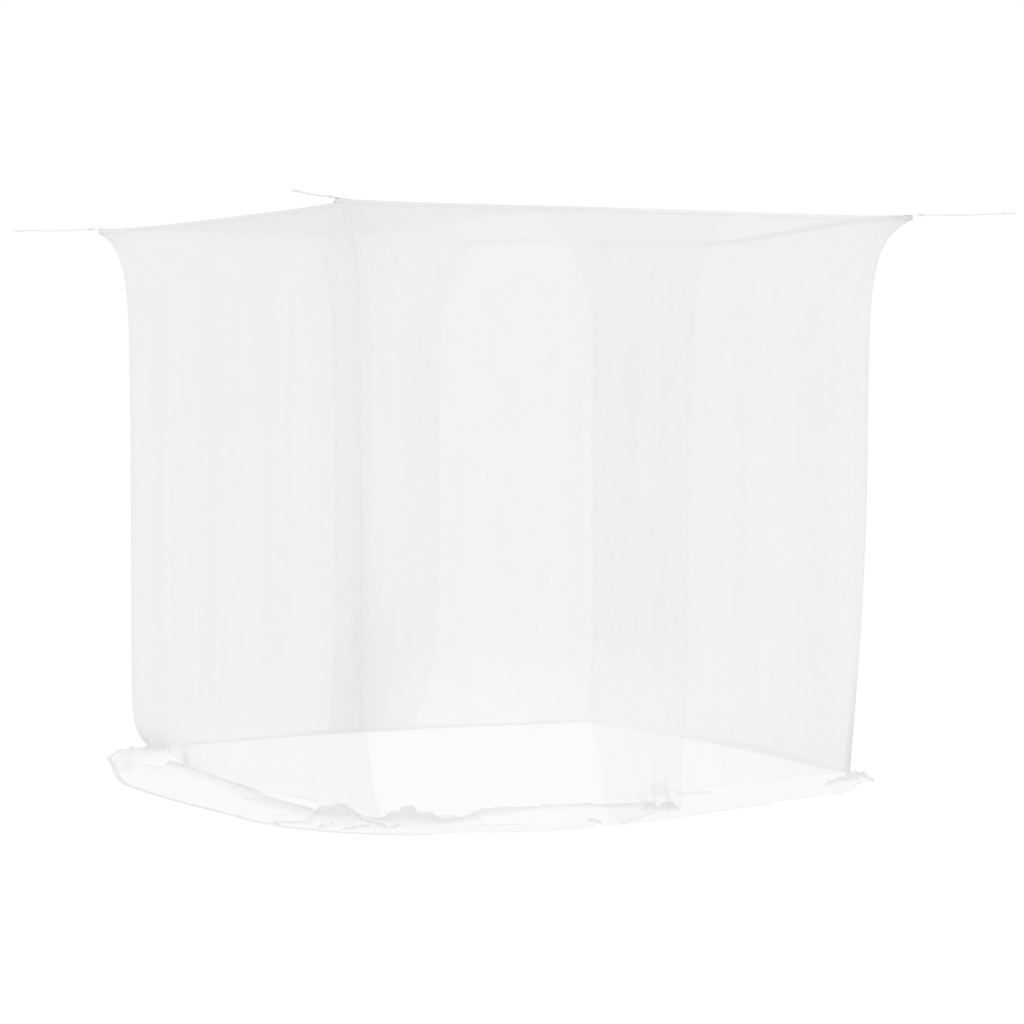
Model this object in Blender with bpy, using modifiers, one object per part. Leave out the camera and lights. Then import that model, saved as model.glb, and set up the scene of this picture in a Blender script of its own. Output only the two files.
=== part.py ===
"""A box-shaped mosquito net, hung by its four top corners over a bed.

A square roof panel carries four walls: two plain side walls, and a front and a back wall that are each
two overlapping door flaps. The cloth is longer than the drop, so the surplus lies on the floor outside.
Each door flap folds about the slanting line from its free top corner to its foot at the corner seam.

The origin is midway between the four corner points, at the height of the tie strings, with +Z up. The front
wall faces -Y. Lengths are in metres. A depth is measured down from the tie level.
"""
import math

import bmesh
import bpy
import numpy as np
from mathutils import Matrix, Vector

# The net as it hangs
ROOF_SIDE = 2.0
HANG_HEIGHT = 1.79
CLOTH = 0.0008

# Clearances between pieces that are sewn together or that lie on each other
SEAM_GAP = 0.0004
ROOF_SEAM_GAP = 0.0009
CORNER_GAP = 0.003
FOLD_GAP = 0.0008
LAYER_GAP = 0.0006
HANGING_GAP = 0.0052

# Tapes, tabs and strings
TAPE = 0.0008
ROOF_TAPE_WIDTH = 0.014
HEM_WIDTH = 0.016
EDGE_WIDTH = 0.012
SEAM_TAPE_WIDTH = 0.010
PATCH = 0.001
PATCH_SIDE = 0.055
TAB_LENGTH = 0.055
TAB_WIDTH = 0.014
TAB_THICKNESS = 0.0015
TAB_OVERHANG = 0.030
STRING_DIAMETER = 0.003
STRING_REACH = 0.255
KNOT_DIAMETER = 0.009
END_LOOP_LENGTH = 0.030
END_LOOP_WIDTH = 0.014
STRING_DIP = 0.003

# A corner is pulled out by its string: how far that reaches down and along the walls, and how it ends
HORN_DEPTH = 0.075
HORN_SPREAD = 0.20
HORN_POWER = 0.8

# How far the middle of the roof hangs below its seams
ROOF_SAG = 0.035

# The lowest stretch of the cloth, which spreads outwards to the floor
FOOT_HEIGHT = 0.50

# The ruck beside a wall's foot: the share of the wall and of the floor cloth's width that it covers
RUCK_END = 0.40
RUCK_REACH = 0.45

# How far from a corner a side wall's floor cloth fans round it to meet the door's
FAN_LENGTH = 0.21

# Soft upright folds of the walls, and where they fade out
WAVE_DEPTH = 0.008
WAVE_PITCH = 0.46
WAVE_PHASE = 0.7
WAVE_FROM_ROOF = 0.60
WAVE_FROM_FLOOR = 0.50
WAVE_FROM_CORNER = 0.14
WAVE_FROM_DOOR = 0.38
WAVE_FADE = 0.15

# Door flaps: the depth over which the outer flap comes away from the inner one, and how far from its corner
HANGING_DEPTH = 0.25
HANGING_LENGTH = 0.30
# How quickly a free edge is drawn in below the roof
EDGE_DRAW = 0.12
# The fold line: where it starts, how far its ends are trimmed, its axis's clearance, and how far the
# outer and inner flaps open, in degrees
FOLD_TOP = 0.13
FOLD_TRIM_TOP = 0.030
FOLD_TRIM_FOOT = 0.014
FOLD_CLEARANCE = 0.003
OUTER_OPENING = 85
INNER_OPENING = 80

# Mesh fineness: cells along a seam, rows down a wall, rows across the floor cloth, columns of a flap, and
# how much rows and columns crowd together towards their ends
SEAM_CELLS = 16
WALL_ROWS = 14
SKIRT_STEPS = (0.0, 0.2, 0.45, 1.0)
FLAP_COLUMNS = 9
COLUMN_CROWDING = 0.06
ROW_CROWDING = 0.14
FLAP_CROWDING = 1.3
ROUND_STEPS = 24
KNOT_SEGMENTS = 10
KNOT_RINGS = 7

# A knot's waist: its depth, and how far it twists over the knot's length, in turns
KNOT_WAIST = 0.16
KNOT_TWIST = 0.7

# The roof's rim is drawn in a little more than the tape's thickness where that slants, and at the corners
RIM_ROOM = 1.3
CORNER_ROOM = 2.4
# The share of its first cell that a corner seam's tape leaves free under the roof tape
SEAM_TAPE_TRIM = 0.12

# Each corner: its side of X and Y, then how far the seam below hangs inside the corner point, across X and
# Y, at mid height and at the floor. A negative one lies outside.
CORNERS = {
    "front_left": {"side": (-1, -1), "middle": (0.135, 0.115), "foot": (0.10, -0.08)},
    "front_right": {"side": (1, -1), "middle": (0.10, 0.10), "foot": (0.145, 0.135)},
    "back_left": {"side": (-1, 1), "middle": (0.083, 0.083), "foot": (0.14, 0.13)},
    "back_right": {"side": (1, 1), "middle": (0.10, 0.10), "foot": (0.13, 0.12)},
}

# Each wall: the axis it runs along, its side, its end corners and the sag of its roof seam. Then how far its
# foot bulges and towards which end, the width of the cloth on the floor at its start, the extra in its
# middle and the width at its end, how far that cloth's rim has drifted along the wall, towards which end
# both are largest, and the height of the ruck that the cloth makes beyond its foot near its start.
WALLS = {
    "front": {
        "along": 0, "side": -1, "ends": ("front_left", "front_right"), "sag": 0.010,
        "bulge": 0.20, "bulge_skew": 0.6,
        "skirt": (0.31, 0.19, 0.085), "drift": -0.25, "skirt_skew": 2.0, "ruck": 0.020,
    },
    "back": {
        "along": 0, "side": 1, "ends": ("back_left", "back_right"), "sag": 0.012,
        "bulge": 0.08, "bulge_skew": 1.0,
        "skirt": (0.05, 0.08, 0.10), "drift": 0.0, "skirt_skew": 1.0, "ruck": 0.0,
    },
    "left": {
        "along": 1, "side": -1, "ends": ("front_left", "back_left"), "sag": 0.020,
        "bulge": 0.10, "bulge_skew": 1.0,
        "skirt": (0.28, 0.05, 0.20), "drift": 0.0, "skirt_skew": 1.0, "ruck": 0.030,
    },
    "right": {
        "along": 1, "side": 1, "ends": ("front_right", "back_right"), "sag": 0.037,
        "bulge": 0.04, "bulge_skew": 1.0,
        "skirt": (0.025, 0.06, 0.10), "drift": 0.0, "skirt_skew": 1.0, "ruck": 0.0,
    },
}

# Each door flap: its wall, the end it is sewn to, which way it runs from there, whether it is the outer one,
# and where its free edge hangs along the wall at the roof, at mid height and at the floor
FLAPS = {
    "front_left": {"wall": "front", "end": 0, "run": 1, "outer": True, "edge": (0.40, 0.235, 0.10)},
    "front_right": {"wall": "front", "end": 1, "run": -1, "outer": False, "edge": (-0.33, -0.085, -0.20)},
    "back_left": {"wall": "back", "end": 0, "run": 1, "outer": False, "edge": (0.42, 0.25, 0.16)},
    "back_right": {"wall": "back", "end": 1, "run": -1, "outer": True, "edge": (-0.235, -0.14, -0.14)},
}

HALF = ROOF_SIDE / 2
PATCH_SHARE = PATCH_SIDE / ROOF_SIDE
NET_COLOUR = (0.93, 0.93, 0.92)
TAPE_COLOUR = (0.88, 0.88, 0.87)
STRING_COLOUR = (0.80, 0.80, 0.79)
NET_ROUGHNESS = 0.7
TAPE_ROUGHNESS = 0.6
STRING_ROUGHNESS = 0.6


def clear_scene():
    for obj in list(bpy.data.objects):
        bpy.data.objects.remove(obj, do_unlink=True)


def new_collection(name):
    collection = bpy.data.collections.new(name)
    bpy.context.scene.collection.children.link(collection)
    return collection


def plain_material(name, colour, roughness):
    material = bpy.data.materials.new(name)
    material.use_nodes = True
    shader = material.node_tree.nodes["Principled BSDF"]
    shader.inputs["Base Color"].default_value = (*colour, 1.0)
    shader.inputs["Roughness"].default_value = roughness
    material.diffuse_color = (*colour, 1.0)
    return material


def smooth(x):
    x = min(max(x, 0.0), 1.0)
    return x * x * (3 - 2 * x)


def horn(depth):
    """How much of a corner's pull is left at this depth, from 1 down to the roof tape's lower edge to 0."""
    return math.exp(-((max(depth - ROOF_TAPE_WIDTH, 0.0) / HORN_DEPTH) ** HORN_POWER))


def foot(depth):
    """How much of the outward spread is reached at this depth, from 0 to 1 at the floor."""
    start = HANG_HEIGHT - FOOT_HEIGHT
    return max(0.0, (depth - start) / FOOT_HEIGHT) ** 2


def corner_low(corner, axis, depth):
    """The corner seam's distance from the centre plane across this axis, without its string's pull."""
    middle, low = corner["middle"][axis], corner["foot"][axis]
    return HALF - middle - (low - middle) * foot(depth)


def corner_place(corner, axis, depth):
    return corner_low(corner, axis, depth) + corner["middle"][axis] * horn(depth)


def wall_ends(wall, depth):
    """Where the wall starts and ends along its own axis at this depth."""
    along = wall["along"]
    ends = [CORNERS[name] for name in wall["ends"]]
    return [corner["side"][along] * corner_place(corner, along, depth) for corner in ends]


def fraction_along(wall, along, depth):
    start, end = wall_ends(wall, depth)
    return (along - start) / (end - start)


def waves(wall, along, depth):
    """Soft upright folds, which fade out at the roof, at the corners and where door flaps overlap."""
    fade = smooth(depth / WAVE_FROM_ROOF) * smooth((HANG_HEIGHT - depth) / WAVE_FROM_FLOOR)
    fade *= smooth((HALF - WAVE_FROM_CORNER - abs(along)) / WAVE_FADE)
    if wall["along"] == 0:
        fade *= smooth((abs(along) - WAVE_FROM_DOOR) / WAVE_FADE)
    phase = WAVE_PHASE * wall["side"] + wall["along"]
    return WAVE_DEPTH * fade * math.sin(2 * math.pi * along / WAVE_PITCH + phase)


def wall_out(wall, along, depth):
    """The wall's distance from the net's centre plane."""
    across = 1 - wall["along"]
    first, last = [CORNERS[name] for name in wall["ends"]]
    u = fraction_along(wall, along, depth)
    inside = min(max(u, 0.0), 1.0)
    out = (1 - u) * corner_low(first, across, depth) + u * corner_low(last, across, depth)
    pull_first = first["middle"][across] * math.exp(-max(u, 0.0) * ROOF_SIDE / HORN_SPREAD)
    pull_last = last["middle"][across] * math.exp(-max(1 - u, 0.0) * ROOF_SIDE / HORN_SPREAD)
    out += horn(depth) * (pull_first + pull_last)
    bump = math.sin(math.pi * inside ** wall["bulge_skew"]) ** 2
    return out + wall["bulge"] * bump * foot(depth) + waves(wall, along, depth)


def hump(u):
    """A smooth rise between the level cells at both ends of a seam, from 0 to 1 in its middle."""
    inner = min(max((u - PATCH_SHARE) / (1 - 2 * PATCH_SHARE), 0.0), 1.0)
    return math.sin(math.pi * inner) ** 2


def seam_sag(wall, u):
    """How far the roof seam hangs below the corners."""
    return wall["sag"] * hump(u)


def place(wall, along, out, height):
    point = [0.0, 0.0, height]
    point[wall["along"]] = along
    point[1 - wall["along"]] = wall["side"] * out
    return Vector(point)


def wall_point(wall, along, depth, stand_off=0.0):
    u = fraction_along(wall, along, depth)
    height = -depth - seam_sag(wall, u) * (1 - depth / HANG_HEIGHT)
    return place(wall, along, wall_out(wall, along, depth) + stand_off, height)


def skirt_swell(wall, u):
    inside = min(max(u, 0.0), 1.0)
    return math.sin(math.pi * inside ** wall["skirt_skew"])


def skirt_width(wall, u):
    start, middle, end = wall["skirt"]
    return (1 - u) * start + u * end + middle * skirt_swell(wall, u)


def skirt_reach(wall, along):
    """The floor cloth's width here, out from the wall and along it. A side wall's fans round its corners."""
    start, end = wall_ends(wall, HANG_HEIGHT)
    u = (along - start) / (end - start)
    width = skirt_width(wall, u)
    if wall["along"] == 1:
        for corner_along, corner_name in zip((start, end), wall["ends"]):
            near = 1 - abs(along - corner_along) / FAN_LENGTH
            if near > 0:
                turn = near * math.pi / 2
                side = CORNERS[corner_name]["side"][wall["along"]]
                width += near * (door_skirt(corner_name) - width)
                return width * math.cos(turn), side * width * math.sin(turn)
    return width, wall["drift"] * skirt_swell(wall, u)


def door_skirt(corner_name):
    """The width of the door's floor cloth at this corner."""
    for wall in WALLS.values():
        if wall["along"] == 0 and corner_name in wall["ends"]:
            return wall["skirt"][0] if wall["ends"][0] == corner_name else wall["skirt"][-1]
    return 0.0


def skirt_point(wall, along, reach, stand_off=0.0, lift=0.0):
    """A point of the cloth that lies on the floor, reach times its width out from the wall's foot."""
    start, end = wall_ends(wall, HANG_HEIGHT)
    u = (along - start) / (end - start)
    width_out, width_along = skirt_reach(wall, along)
    out = wall_out(wall, along, HANG_HEIGHT) + stand_off + reach * width_out
    ruck_along = math.sin(math.pi * min(max(u / RUCK_END, 0.0), 1.0)) ** 2
    ruck_across = math.sin(math.pi * min(reach / RUCK_REACH, 1.0))
    height = -HANG_HEIGHT + CLOTH + lift + wall["ruck"] * ruck_along * ruck_across
    return place(wall, along + reach * width_along, out, height)


def even_steps(count, crowding):
    """Steps from 0 to 1 that crowd together near both ends."""
    steps = np.linspace(0, 1, count + 1)
    return steps - crowding * np.sin(2 * math.pi * steps)


def wall_depths():
    """The depths at which every wall, flap and corner seam is cut into rows."""
    top = ROOF_TAPE_WIDTH + ROOF_SEAM_GAP
    return top + (HANG_HEIGHT - top) * even_steps(WALL_ROWS, ROW_CROWDING)


def seam_steps():
    """The columns that a roof seam, its tape and its cloth share, with a patch's side at each end."""
    inner = PATCH_SHARE + (1 - 2 * PATCH_SHARE) * even_steps(SEAM_CELLS, COLUMN_CROWDING)
    return [0.0, *inner, 1.0]


def cloth_object(name, rows, collection, material, outward, thickness=CLOTH):
    """A sheet through a grid of points, thickened away from its outer side."""
    rows = [[Vector(point) for point in row] for row in rows]
    row_count, column_count = len(rows) - 1, len(rows[0]) - 1
    middle_row, middle_column = row_count // 2, column_count // 2
    across = rows[middle_row][middle_column + 1] - rows[middle_row][middle_column]
    down = rows[middle_row + 1][middle_column] - rows[middle_row][middle_column]
    if across.cross(down).dot(Vector(outward)) < 0:
        rows = [list(reversed(row)) for row in rows]
    mesh = bpy.data.meshes.new(name)
    bm = bmesh.new()
    bmesh.ops.create_grid(bm, x_segments=column_count, y_segments=row_count, size=1.0)
    for vert in bm.verts:
        column = round((vert.co.x + 1) / 2 * column_count)
        row = round((vert.co.y + 1) / 2 * row_count)
        vert.co = rows[row][column]
    bm.to_mesh(mesh)
    bm.free()
    obj = bpy.data.objects.new(name, mesh)
    collection.objects.link(obj)
    obj.data.materials.append(material)
    shell = obj.modifiers.new("Thickness", "SOLIDIFY")
    shell.thickness = thickness
    shell.offset = -1
    return obj


def wall_columns(wall, depth, steps):
    start, end = wall_ends(wall, depth)
    return [start + (end - start) * u for u in steps]


def side_wall(name, collection, material):
    wall = WALLS[name]
    steps = seam_steps()
    rows = [[wall_point(wall, a, d) for a in wall_columns(wall, d, steps)] for d in wall_depths()[:-1]]
    floor_line = wall_columns(wall, HANG_HEIGHT, steps)
    rows += [[skirt_point(wall, a, reach) for a in floor_line] for reach in SKIRT_STEPS]
    return cloth_object(name + "_wall", rows, collection, material, place(wall, 0, 1, 0))


def hem_rows(wall, floor_line, stand_off=0.0, lift=0.0):
    """The two edges of the tape that borders the floor cloth."""
    inner, outer = [], []
    for along in floor_line:
        rim = skirt_point(wall, along, 1.0, stand_off, lift)
        before = skirt_point(wall, along, 0.9, stand_off, lift)
        direction = (rim - before).normalized()
        inner.append(rim + direction * SEAM_GAP)
        outer.append(rim + direction * (SEAM_GAP + HEM_WIDTH))
    return [inner, outer]


def side_hem(name, collection, material):
    wall = WALLS[name]
    floor_line = wall_columns(wall, HANG_HEIGHT, seam_steps())
    rows = hem_rows(wall, floor_line)
    return cloth_object(name + "_hem_tape", rows, collection, material, (0, 0, 1), TAPE)


def roof_tape(name, collection, material):
    """The binding of one roof seam, up to the patches. The front and back ones stop short of the corners."""
    wall = WALLS[name]
    steps = seam_steps()
    rows = []
    for depth in (-PATCH, ROOF_TAPE_WIDTH):
        columns = wall_columns(wall, max(depth, 0.0), steps)
        if wall["along"] == 0:
            columns[0] += CORNER_GAP
            columns[-1] -= CORNER_GAP
        rows.append([wall_point(wall, a, depth) for a in columns])
    return cloth_object(name + "_roof_tape", rows, collection, material, place(wall, 0, 1, 0), TAPE)


def edge_along(flap, depth):
    """Where the flap's free edge hangs. It is drawn in below the roof and spreads at the floor."""
    roof, middle, floor = flap["edge"]
    return middle + (roof - middle) * math.exp(-depth / EDGE_DRAW) + (floor - middle) * foot(depth)


def flap_start(flap, depth):
    """Where the flap begins beside the corner seam."""
    return wall_ends(WALLS[flap["wall"]], depth)[flap["end"]] + flap["run"] * CORNER_GAP


def fold_along(flap, depth):
    """The fold line along the wall: straight from the free top corner to the foot at the corner seam."""
    top, bottom = edge_along(flap, FOLD_TOP), flap_start(flap, HANG_HEIGHT)
    return top + (bottom - top) * (depth - FOLD_TOP) / (HANG_HEIGHT - FOLD_TOP)


def flap_stand_off(flap, along, depth):
    if not flap["outer"]:
        return 0.0
    from_seam = smooth(abs(along - flap_start(flap, depth)) / HANGING_LENGTH)
    return from_seam * (layer() + (HANGING_GAP - LAYER_GAP) * smooth(depth / HANGING_DEPTH))


def layer():
    """From one flap's outer side to the next one's, where they lie on each other."""
    return max(CLOTH, TAPE) + LAYER_GAP


def flap_lift(flap):
    return layer() if flap["outer"] else 0.0


def flap_point(flap, along, depth):
    return wall_point(WALLS[flap["wall"]], along, depth, flap_stand_off(flap, along, depth))


def flap_skirt_point(flap, along, reach):
    stand_off = flap_stand_off(flap, along, HANG_HEIGHT)
    return skirt_point(WALLS[flap["wall"]], along, reach, stand_off, flap_lift(flap))


def flap_outward(flap):
    return place(WALLS[flap["wall"]], 0, 1, 0)


def between(first, last, steps):
    return [first + (last - first) * s for s in steps]


def flap_top(name, collection, material):
    """The upper part of a door flap, which stays with the roof and the corner seam."""
    flap = FLAPS[name]
    steps = np.linspace(0, 1, FLAP_COLUMNS + 1) ** FLAP_CROWDING
    rows = []
    for depth in [d for d in flap_depths() if d <= HANG_HEIGHT - FOLD_TRIM_FOOT]:
        limit = edge_along(flap, depth)
        if depth > FOLD_TOP:
            limit = fold_along(flap, depth) - flap["run"] * FOLD_GAP / 2
        columns = between(flap_start(flap, depth), limit, steps)
        rows.append([flap_point(flap, a, depth) for a in columns])
    return cloth_object(name + "_door_top", rows, collection, material, flap_outward(flap))


def flap_depths():
    """The rows of both parts of a flap: the walls' rows, and one where the fold line's trimmed foot ends."""
    trimmed = HANG_HEIGHT - FOLD_TRIM_FOOT
    return sorted([*(d for d in wall_depths() if d < trimmed), trimmed, HANG_HEIGHT])


def fold_depths():
    start = FOLD_TOP + FOLD_TRIM_TOP
    return [start, *(d for d in flap_depths() if d > start)]


def flap_floor_line(flap):
    steps = np.linspace(0, 1, FLAP_COLUMNS + 1)
    start = flap_start(flap, HANG_HEIGHT) + flap["run"] * FOLD_GAP
    return between(start, edge_along(flap, HANG_HEIGHT), steps)


def flap_fold(name, collection, material):
    """The lower part of a door flap, which folds open, with its surplus on the floor."""
    flap = FLAPS[name]
    steps = np.linspace(0, 1, FLAP_COLUMNS + 1)
    rows = []
    for depth in fold_depths()[:-1]:
        start = fold_along(flap, depth) + flap["run"] * FOLD_GAP / 2
        columns = between(start, edge_along(flap, depth), steps)
        rows.append([flap_point(flap, a, depth) for a in columns])
    for reach in SKIRT_STEPS:
        rows.append([flap_skirt_point(flap, a, reach) for a in flap_floor_line(flap)])
    return cloth_object(name + "_door_flap", rows, collection, material, flap_outward(flap))


def flap_edge_tape(name, collection, material):
    """The tape along the free edge of a door flap."""
    flap = FLAPS[name]
    offsets = [flap["run"] * SEAM_GAP, flap["run"] * (SEAM_GAP + EDGE_WIDTH)]
    rows = []
    for depth in fold_depths()[:-1]:
        along = edge_along(flap, depth)
        rows.append([flap_point(flap, along + offset, depth) for offset in offsets])
    along = edge_along(flap, HANG_HEIGHT)
    for reach in SKIRT_STEPS:
        rows.append([flap_skirt_point(flap, along + offset, reach) for offset in offsets])
    return cloth_object(name + "_door_edge_tape", rows, collection, material, flap_outward(flap), TAPE)


def flap_hem(name, collection, material):
    flap = FLAPS[name]
    rows = [[], []]
    for along in flap_floor_line(flap):
        stand_off = flap_stand_off(flap, along, HANG_HEIGHT)
        inner, outer = hem_rows(WALLS[flap["wall"]], [along], stand_off, flap_lift(flap))
        rows[0] += inner
        rows[1] += outer
    return cloth_object(name + "_door_hem_tape", rows, collection, material, (0, 0, 1), TAPE)


def hinge_line(name):
    """The fold's axis as its low point and its direction, clear of the cloth on the side it opens to.

    A positive turn about the direction opens the flap: an outer flap outwards, an inner flap inwards.
    """
    flap = FLAPS[name]
    depths = [FOLD_TOP, *fold_depths()]
    points = [flap_point(flap, fold_along(flap, d), d) for d in depths]
    high, low = points[0], points[-1]
    rising = (high - low).normalized()
    out = flap_outward(flap)
    normal = (out - rising * out.dot(rising)).normalized()
    proud = [(point - low).dot(normal) for point in points]
    clearance = max(proud) + FOLD_CLEARANCE if flap["outer"] else min(proud) - CLOTH - FOLD_CLEARANCE
    free_foot = flap_point(flap, edge_along(flap, HANG_HEIGHT), HANG_HEIGHT)
    turns_out = rising.cross(free_foot - low).dot(out) > 0
    return low + normal * clearance, rising if turns_out == flap["outer"] else -rising


def hinge_empty(name, collection):
    low, axis = hinge_line(name)
    empty = bpy.data.objects.new(name + "_fold_line", None)
    empty.location = low
    empty.rotation_euler = axis.to_track_quat("Z", "Y").to_euler()
    empty.empty_display_type = "SINGLE_ARROW"
    collection.objects.link(empty)
    opening = OUTER_OPENING if FLAPS[name]["outer"] else INNER_OPENING
    place_text = [round(value, 4) for value in low]
    axis_text = [round(value, 5) for value in axis]
    print(name, "folds about", place_text, "along", axis_text, "from 0 to", opening)
    return empty


def hang_on(obj, empty):
    """Parents a piece to its fold line without moving it."""
    obj.parent = empty
    turn = empty.rotation_euler.to_matrix().to_4x4()
    obj.matrix_parent_inverse = (Matrix.Translation(empty.location) @ turn).inverted()


def roof_edge(wall, u):
    """A point of the roof's rim, just inside the roof tape."""
    start, end = wall_ends(wall, 0.0)
    along = start + (end - start) * u
    out = wall_out(wall, along, 0.0) - RIM_ROOM * (TAPE + SEAM_GAP)
    return place(wall, along, out, -seam_sag(wall, u))


def roof_corner(side):
    distance = HALF - CORNER_ROOM * (TAPE + SEAM_GAP)
    return Vector((side[0] * distance, side[1] * distance, 0.0))


def roof_point(s, t):
    """A patch between the four roof seams, sagging a little in the middle."""
    front, back = roof_edge(WALLS["front"], s), roof_edge(WALLS["back"], s)
    left, right = roof_edge(WALLS["left"], t), roof_edge(WALLS["right"], t)
    corners = {name: roof_corner(corner["side"]) for name, corner in CORNERS.items()}
    if s in (0.0, 1.0) and t in (0.0, 1.0):
        name = ("front" if t == 0.0 else "back") + ("_left" if s == 0.0 else "_right")
        return corners[name]
    if t in (0.0, 1.0):
        return front if t == 0.0 else back
    if s in (0.0, 1.0):
        return left if s == 0.0 else right
    ruled = front * (1 - t) + back * t + left * (1 - s) + right * s
    bilinear = (
        corners["front_left"] * (1 - s) * (1 - t)
        + corners["front_right"] * s * (1 - t)
        + corners["back_left"] * (1 - s) * t
        + corners["back_right"] * s * t
    )
    return ruled - bilinear - Vector((0, 0, ROOF_SAG * hump(s) * hump(t)))


def roof_panel(collection, material):
    steps = seam_steps()
    rows = [[roof_point(s, t) for s in steps] for t in steps]
    return cloth_object("roof_panel", rows, collection, material, (0, 0, 1))


def corner_patch(name, collection, material):
    """The doubling on the level corner cell of the roof."""
    steps = seam_steps()
    sx, sy = CORNERS[name]["side"]
    across = steps[:2] if sx < 0 else steps[-2:]
    down = steps[:2] if sy < 0 else steps[-2:]
    lift = Vector((0, 0, SEAM_GAP + PATCH))
    rows = [[roof_point(s, t) + lift for s in across] for t in down]
    return cloth_object(name + "_corner_patch", rows, collection, material, (0, 0, 1), PATCH)


def outward_diagonal(name):
    sx, sy = CORNERS[name]["side"]
    return Vector((sx, sy, 0)).normalized()


def tab_height():
    """Level of the tab's underside, clear of the patch and of the roof tape under it."""
    return SEAM_GAP + PATCH + SEAM_GAP


def corner_point(name):
    sx, sy = CORNERS[name]["side"]
    return Vector((sx * HALF, sy * HALF, 0))


def corner_tab(name, collection, material):
    """A folded webbing tab with a round end, sewn on the patch and reaching out past the corner."""
    direction = outward_diagonal(name)
    curve = bpy.data.curves.new(name + "_corner_tab", "CURVE")
    curve.dimensions = "2D"
    curve.fill_mode = "BOTH"
    curve.extrude = TAB_THICKNESS / 2
    radius = TAB_WIDTH / 2
    outline = [(TAB_OVERHANG - TAB_LENGTH, -radius)]
    for angle in np.linspace(-math.pi / 2, math.pi / 2, ROUND_STEPS // 3 + 1):
        outline.append((TAB_OVERHANG - radius + radius * math.cos(angle), radius * math.sin(angle)))
    outline.append((TAB_OVERHANG - TAB_LENGTH, radius))
    spline = curve.splines.new("POLY")
    spline.points.add(len(outline) - 1)
    for point, (x, y) in zip(spline.points, outline):
        point.co = (x, y, 0, 1)
    spline.use_cyclic_u = True
    obj = bpy.data.objects.new(name + "_corner_tab", curve)
    obj.location = corner_point(name) + Vector((0, 0, tab_height() + TAB_THICKNESS / 2))
    obj.rotation_euler = (0, 0, math.atan2(direction.y, direction.x))
    obj.data.materials.append(material)
    collection.objects.link(obj)
    return obj


def string_level():
    return tab_height() + TAB_THICKNESS / 2


def along_string(name, distance):
    """A point this far out from the corner along its string."""
    return corner_point(name) + outward_diagonal(name) * distance + Vector((0, 0, string_level()))


def knot(name, label, distance, collection, material):
    """A small pulled-tight knot: a ball with a twisted waist."""
    mesh = bpy.data.meshes.new(name + label)
    bm = bmesh.new()
    bmesh.ops.create_uvsphere(bm, u_segments=KNOT_SEGMENTS, v_segments=KNOT_RINGS, radius=KNOT_DIAMETER / 2)
    for vert in bm.verts:
        twist = 2 * math.pi * KNOT_TWIST * vert.co.z / KNOT_DIAMETER
        waist = 1 - KNOT_WAIST * math.cos(2 * math.atan2(vert.co.y, vert.co.x) + twist)
        vert.co.x *= waist
        vert.co.y *= waist
    bm.to_mesh(mesh)
    bm.free()
    obj = bpy.data.objects.new(name + label, mesh)
    obj.location = along_string(name, distance)
    obj.rotation_euler = outward_diagonal(name).to_track_quat("Z", "Y").to_euler()
    obj.data.materials.append(material)
    obj.data.shade_smooth()
    collection.objects.link(obj)
    return obj


def first_knot_distance():
    return TAB_OVERHANG + SEAM_GAP + KNOT_DIAMETER / 2


def last_knot_distance():
    return first_knot_distance() + STRING_REACH


def tube(name, points, diameter, resolution, collection, material, closed=False):
    curve = bpy.data.curves.new(name, "CURVE")
    curve.dimensions = "3D"
    curve.bevel_depth = diameter / 2
    curve.bevel_resolution = resolution
    curve.use_fill_caps = not closed
    spline = curve.splines.new("POLY")
    spline.points.add(len(points) - 1)
    for control, point in zip(spline.points, points):
        control.co = (*point, 1)
    spline.use_cyclic_u = closed
    obj = bpy.data.objects.new(name, curve)
    obj.data.materials.append(material)
    collection.objects.link(obj)
    return obj


def tie_string(name, collection, material):
    """The string between its two knots, pulled taut."""
    start = first_knot_distance() + KNOT_DIAMETER / 2 + SEAM_GAP
    end = last_knot_distance() - KNOT_DIAMETER / 2 - SEAM_GAP
    points = []
    for step in np.linspace(0, 1, ROUND_STEPS + 1):
        dip = Vector((0, 0, STRING_DIP * math.sin(math.pi * step) ** 2))
        points.append(along_string(name, start + (end - start) * step) - dip)
    return tube(name + "_tie_string", points, STRING_DIAMETER, 2, collection, material)


def end_loop(name, collection, material):
    """The tied eye at the string's end."""
    half_length = END_LOOP_LENGTH / 2 - STRING_DIAMETER / 2
    half_width = END_LOOP_WIDTH / 2 - STRING_DIAMETER / 2
    centre = last_knot_distance() + KNOT_DIAMETER / 2 + SEAM_GAP + END_LOOP_LENGTH / 2
    direction = outward_diagonal(name)
    side = direction.cross(Vector((0, 0, 1)))
    points = []
    for angle in np.linspace(0, 2 * math.pi, ROUND_STEPS, endpoint=False):
        offset = direction * half_length * math.cos(angle) + side * half_width * math.sin(angle)
        points.append(along_string(name, centre) + offset)
    return tube(name + "_string_loop", points, STRING_DIAMETER, 1, collection, material, closed=True)


def seam_tape(name, collection, material):
    """The binding that covers a corner seam, from under the roof tape down to the floor."""
    corner = CORNERS[name]
    sx, sy = corner["side"]
    out = outward_diagonal(name)
    across = Vector((-out.y, out.x, 0)) * SEAM_TAPE_WIDTH / 2
    line = []
    for depth in wall_depths():
        x, y = corner_place(corner, 0, depth), corner_place(corner, 1, depth)
        line.append(Vector((sx * x, sy * y, -depth)))
    line[0] = line[0].lerp(line[1], SEAM_TAPE_TRIM)
    rows = []
    for index, spot in enumerate(line[:-1]):
        steep = (line[index + 1] - line[max(index - 1, 0)]).normalized()
        normal = (out - steep * out.dot(steep)).normalized()
        rows.append([spot + normal * (SEAM_GAP + TAPE) + side for side in (across, -across)])
    return cloth_object(name + "_seam_tape", rows, collection, material, out, TAPE)


def net_material(name):
    return plain_material(name, NET_COLOUR, NET_ROUGHNESS)


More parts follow.
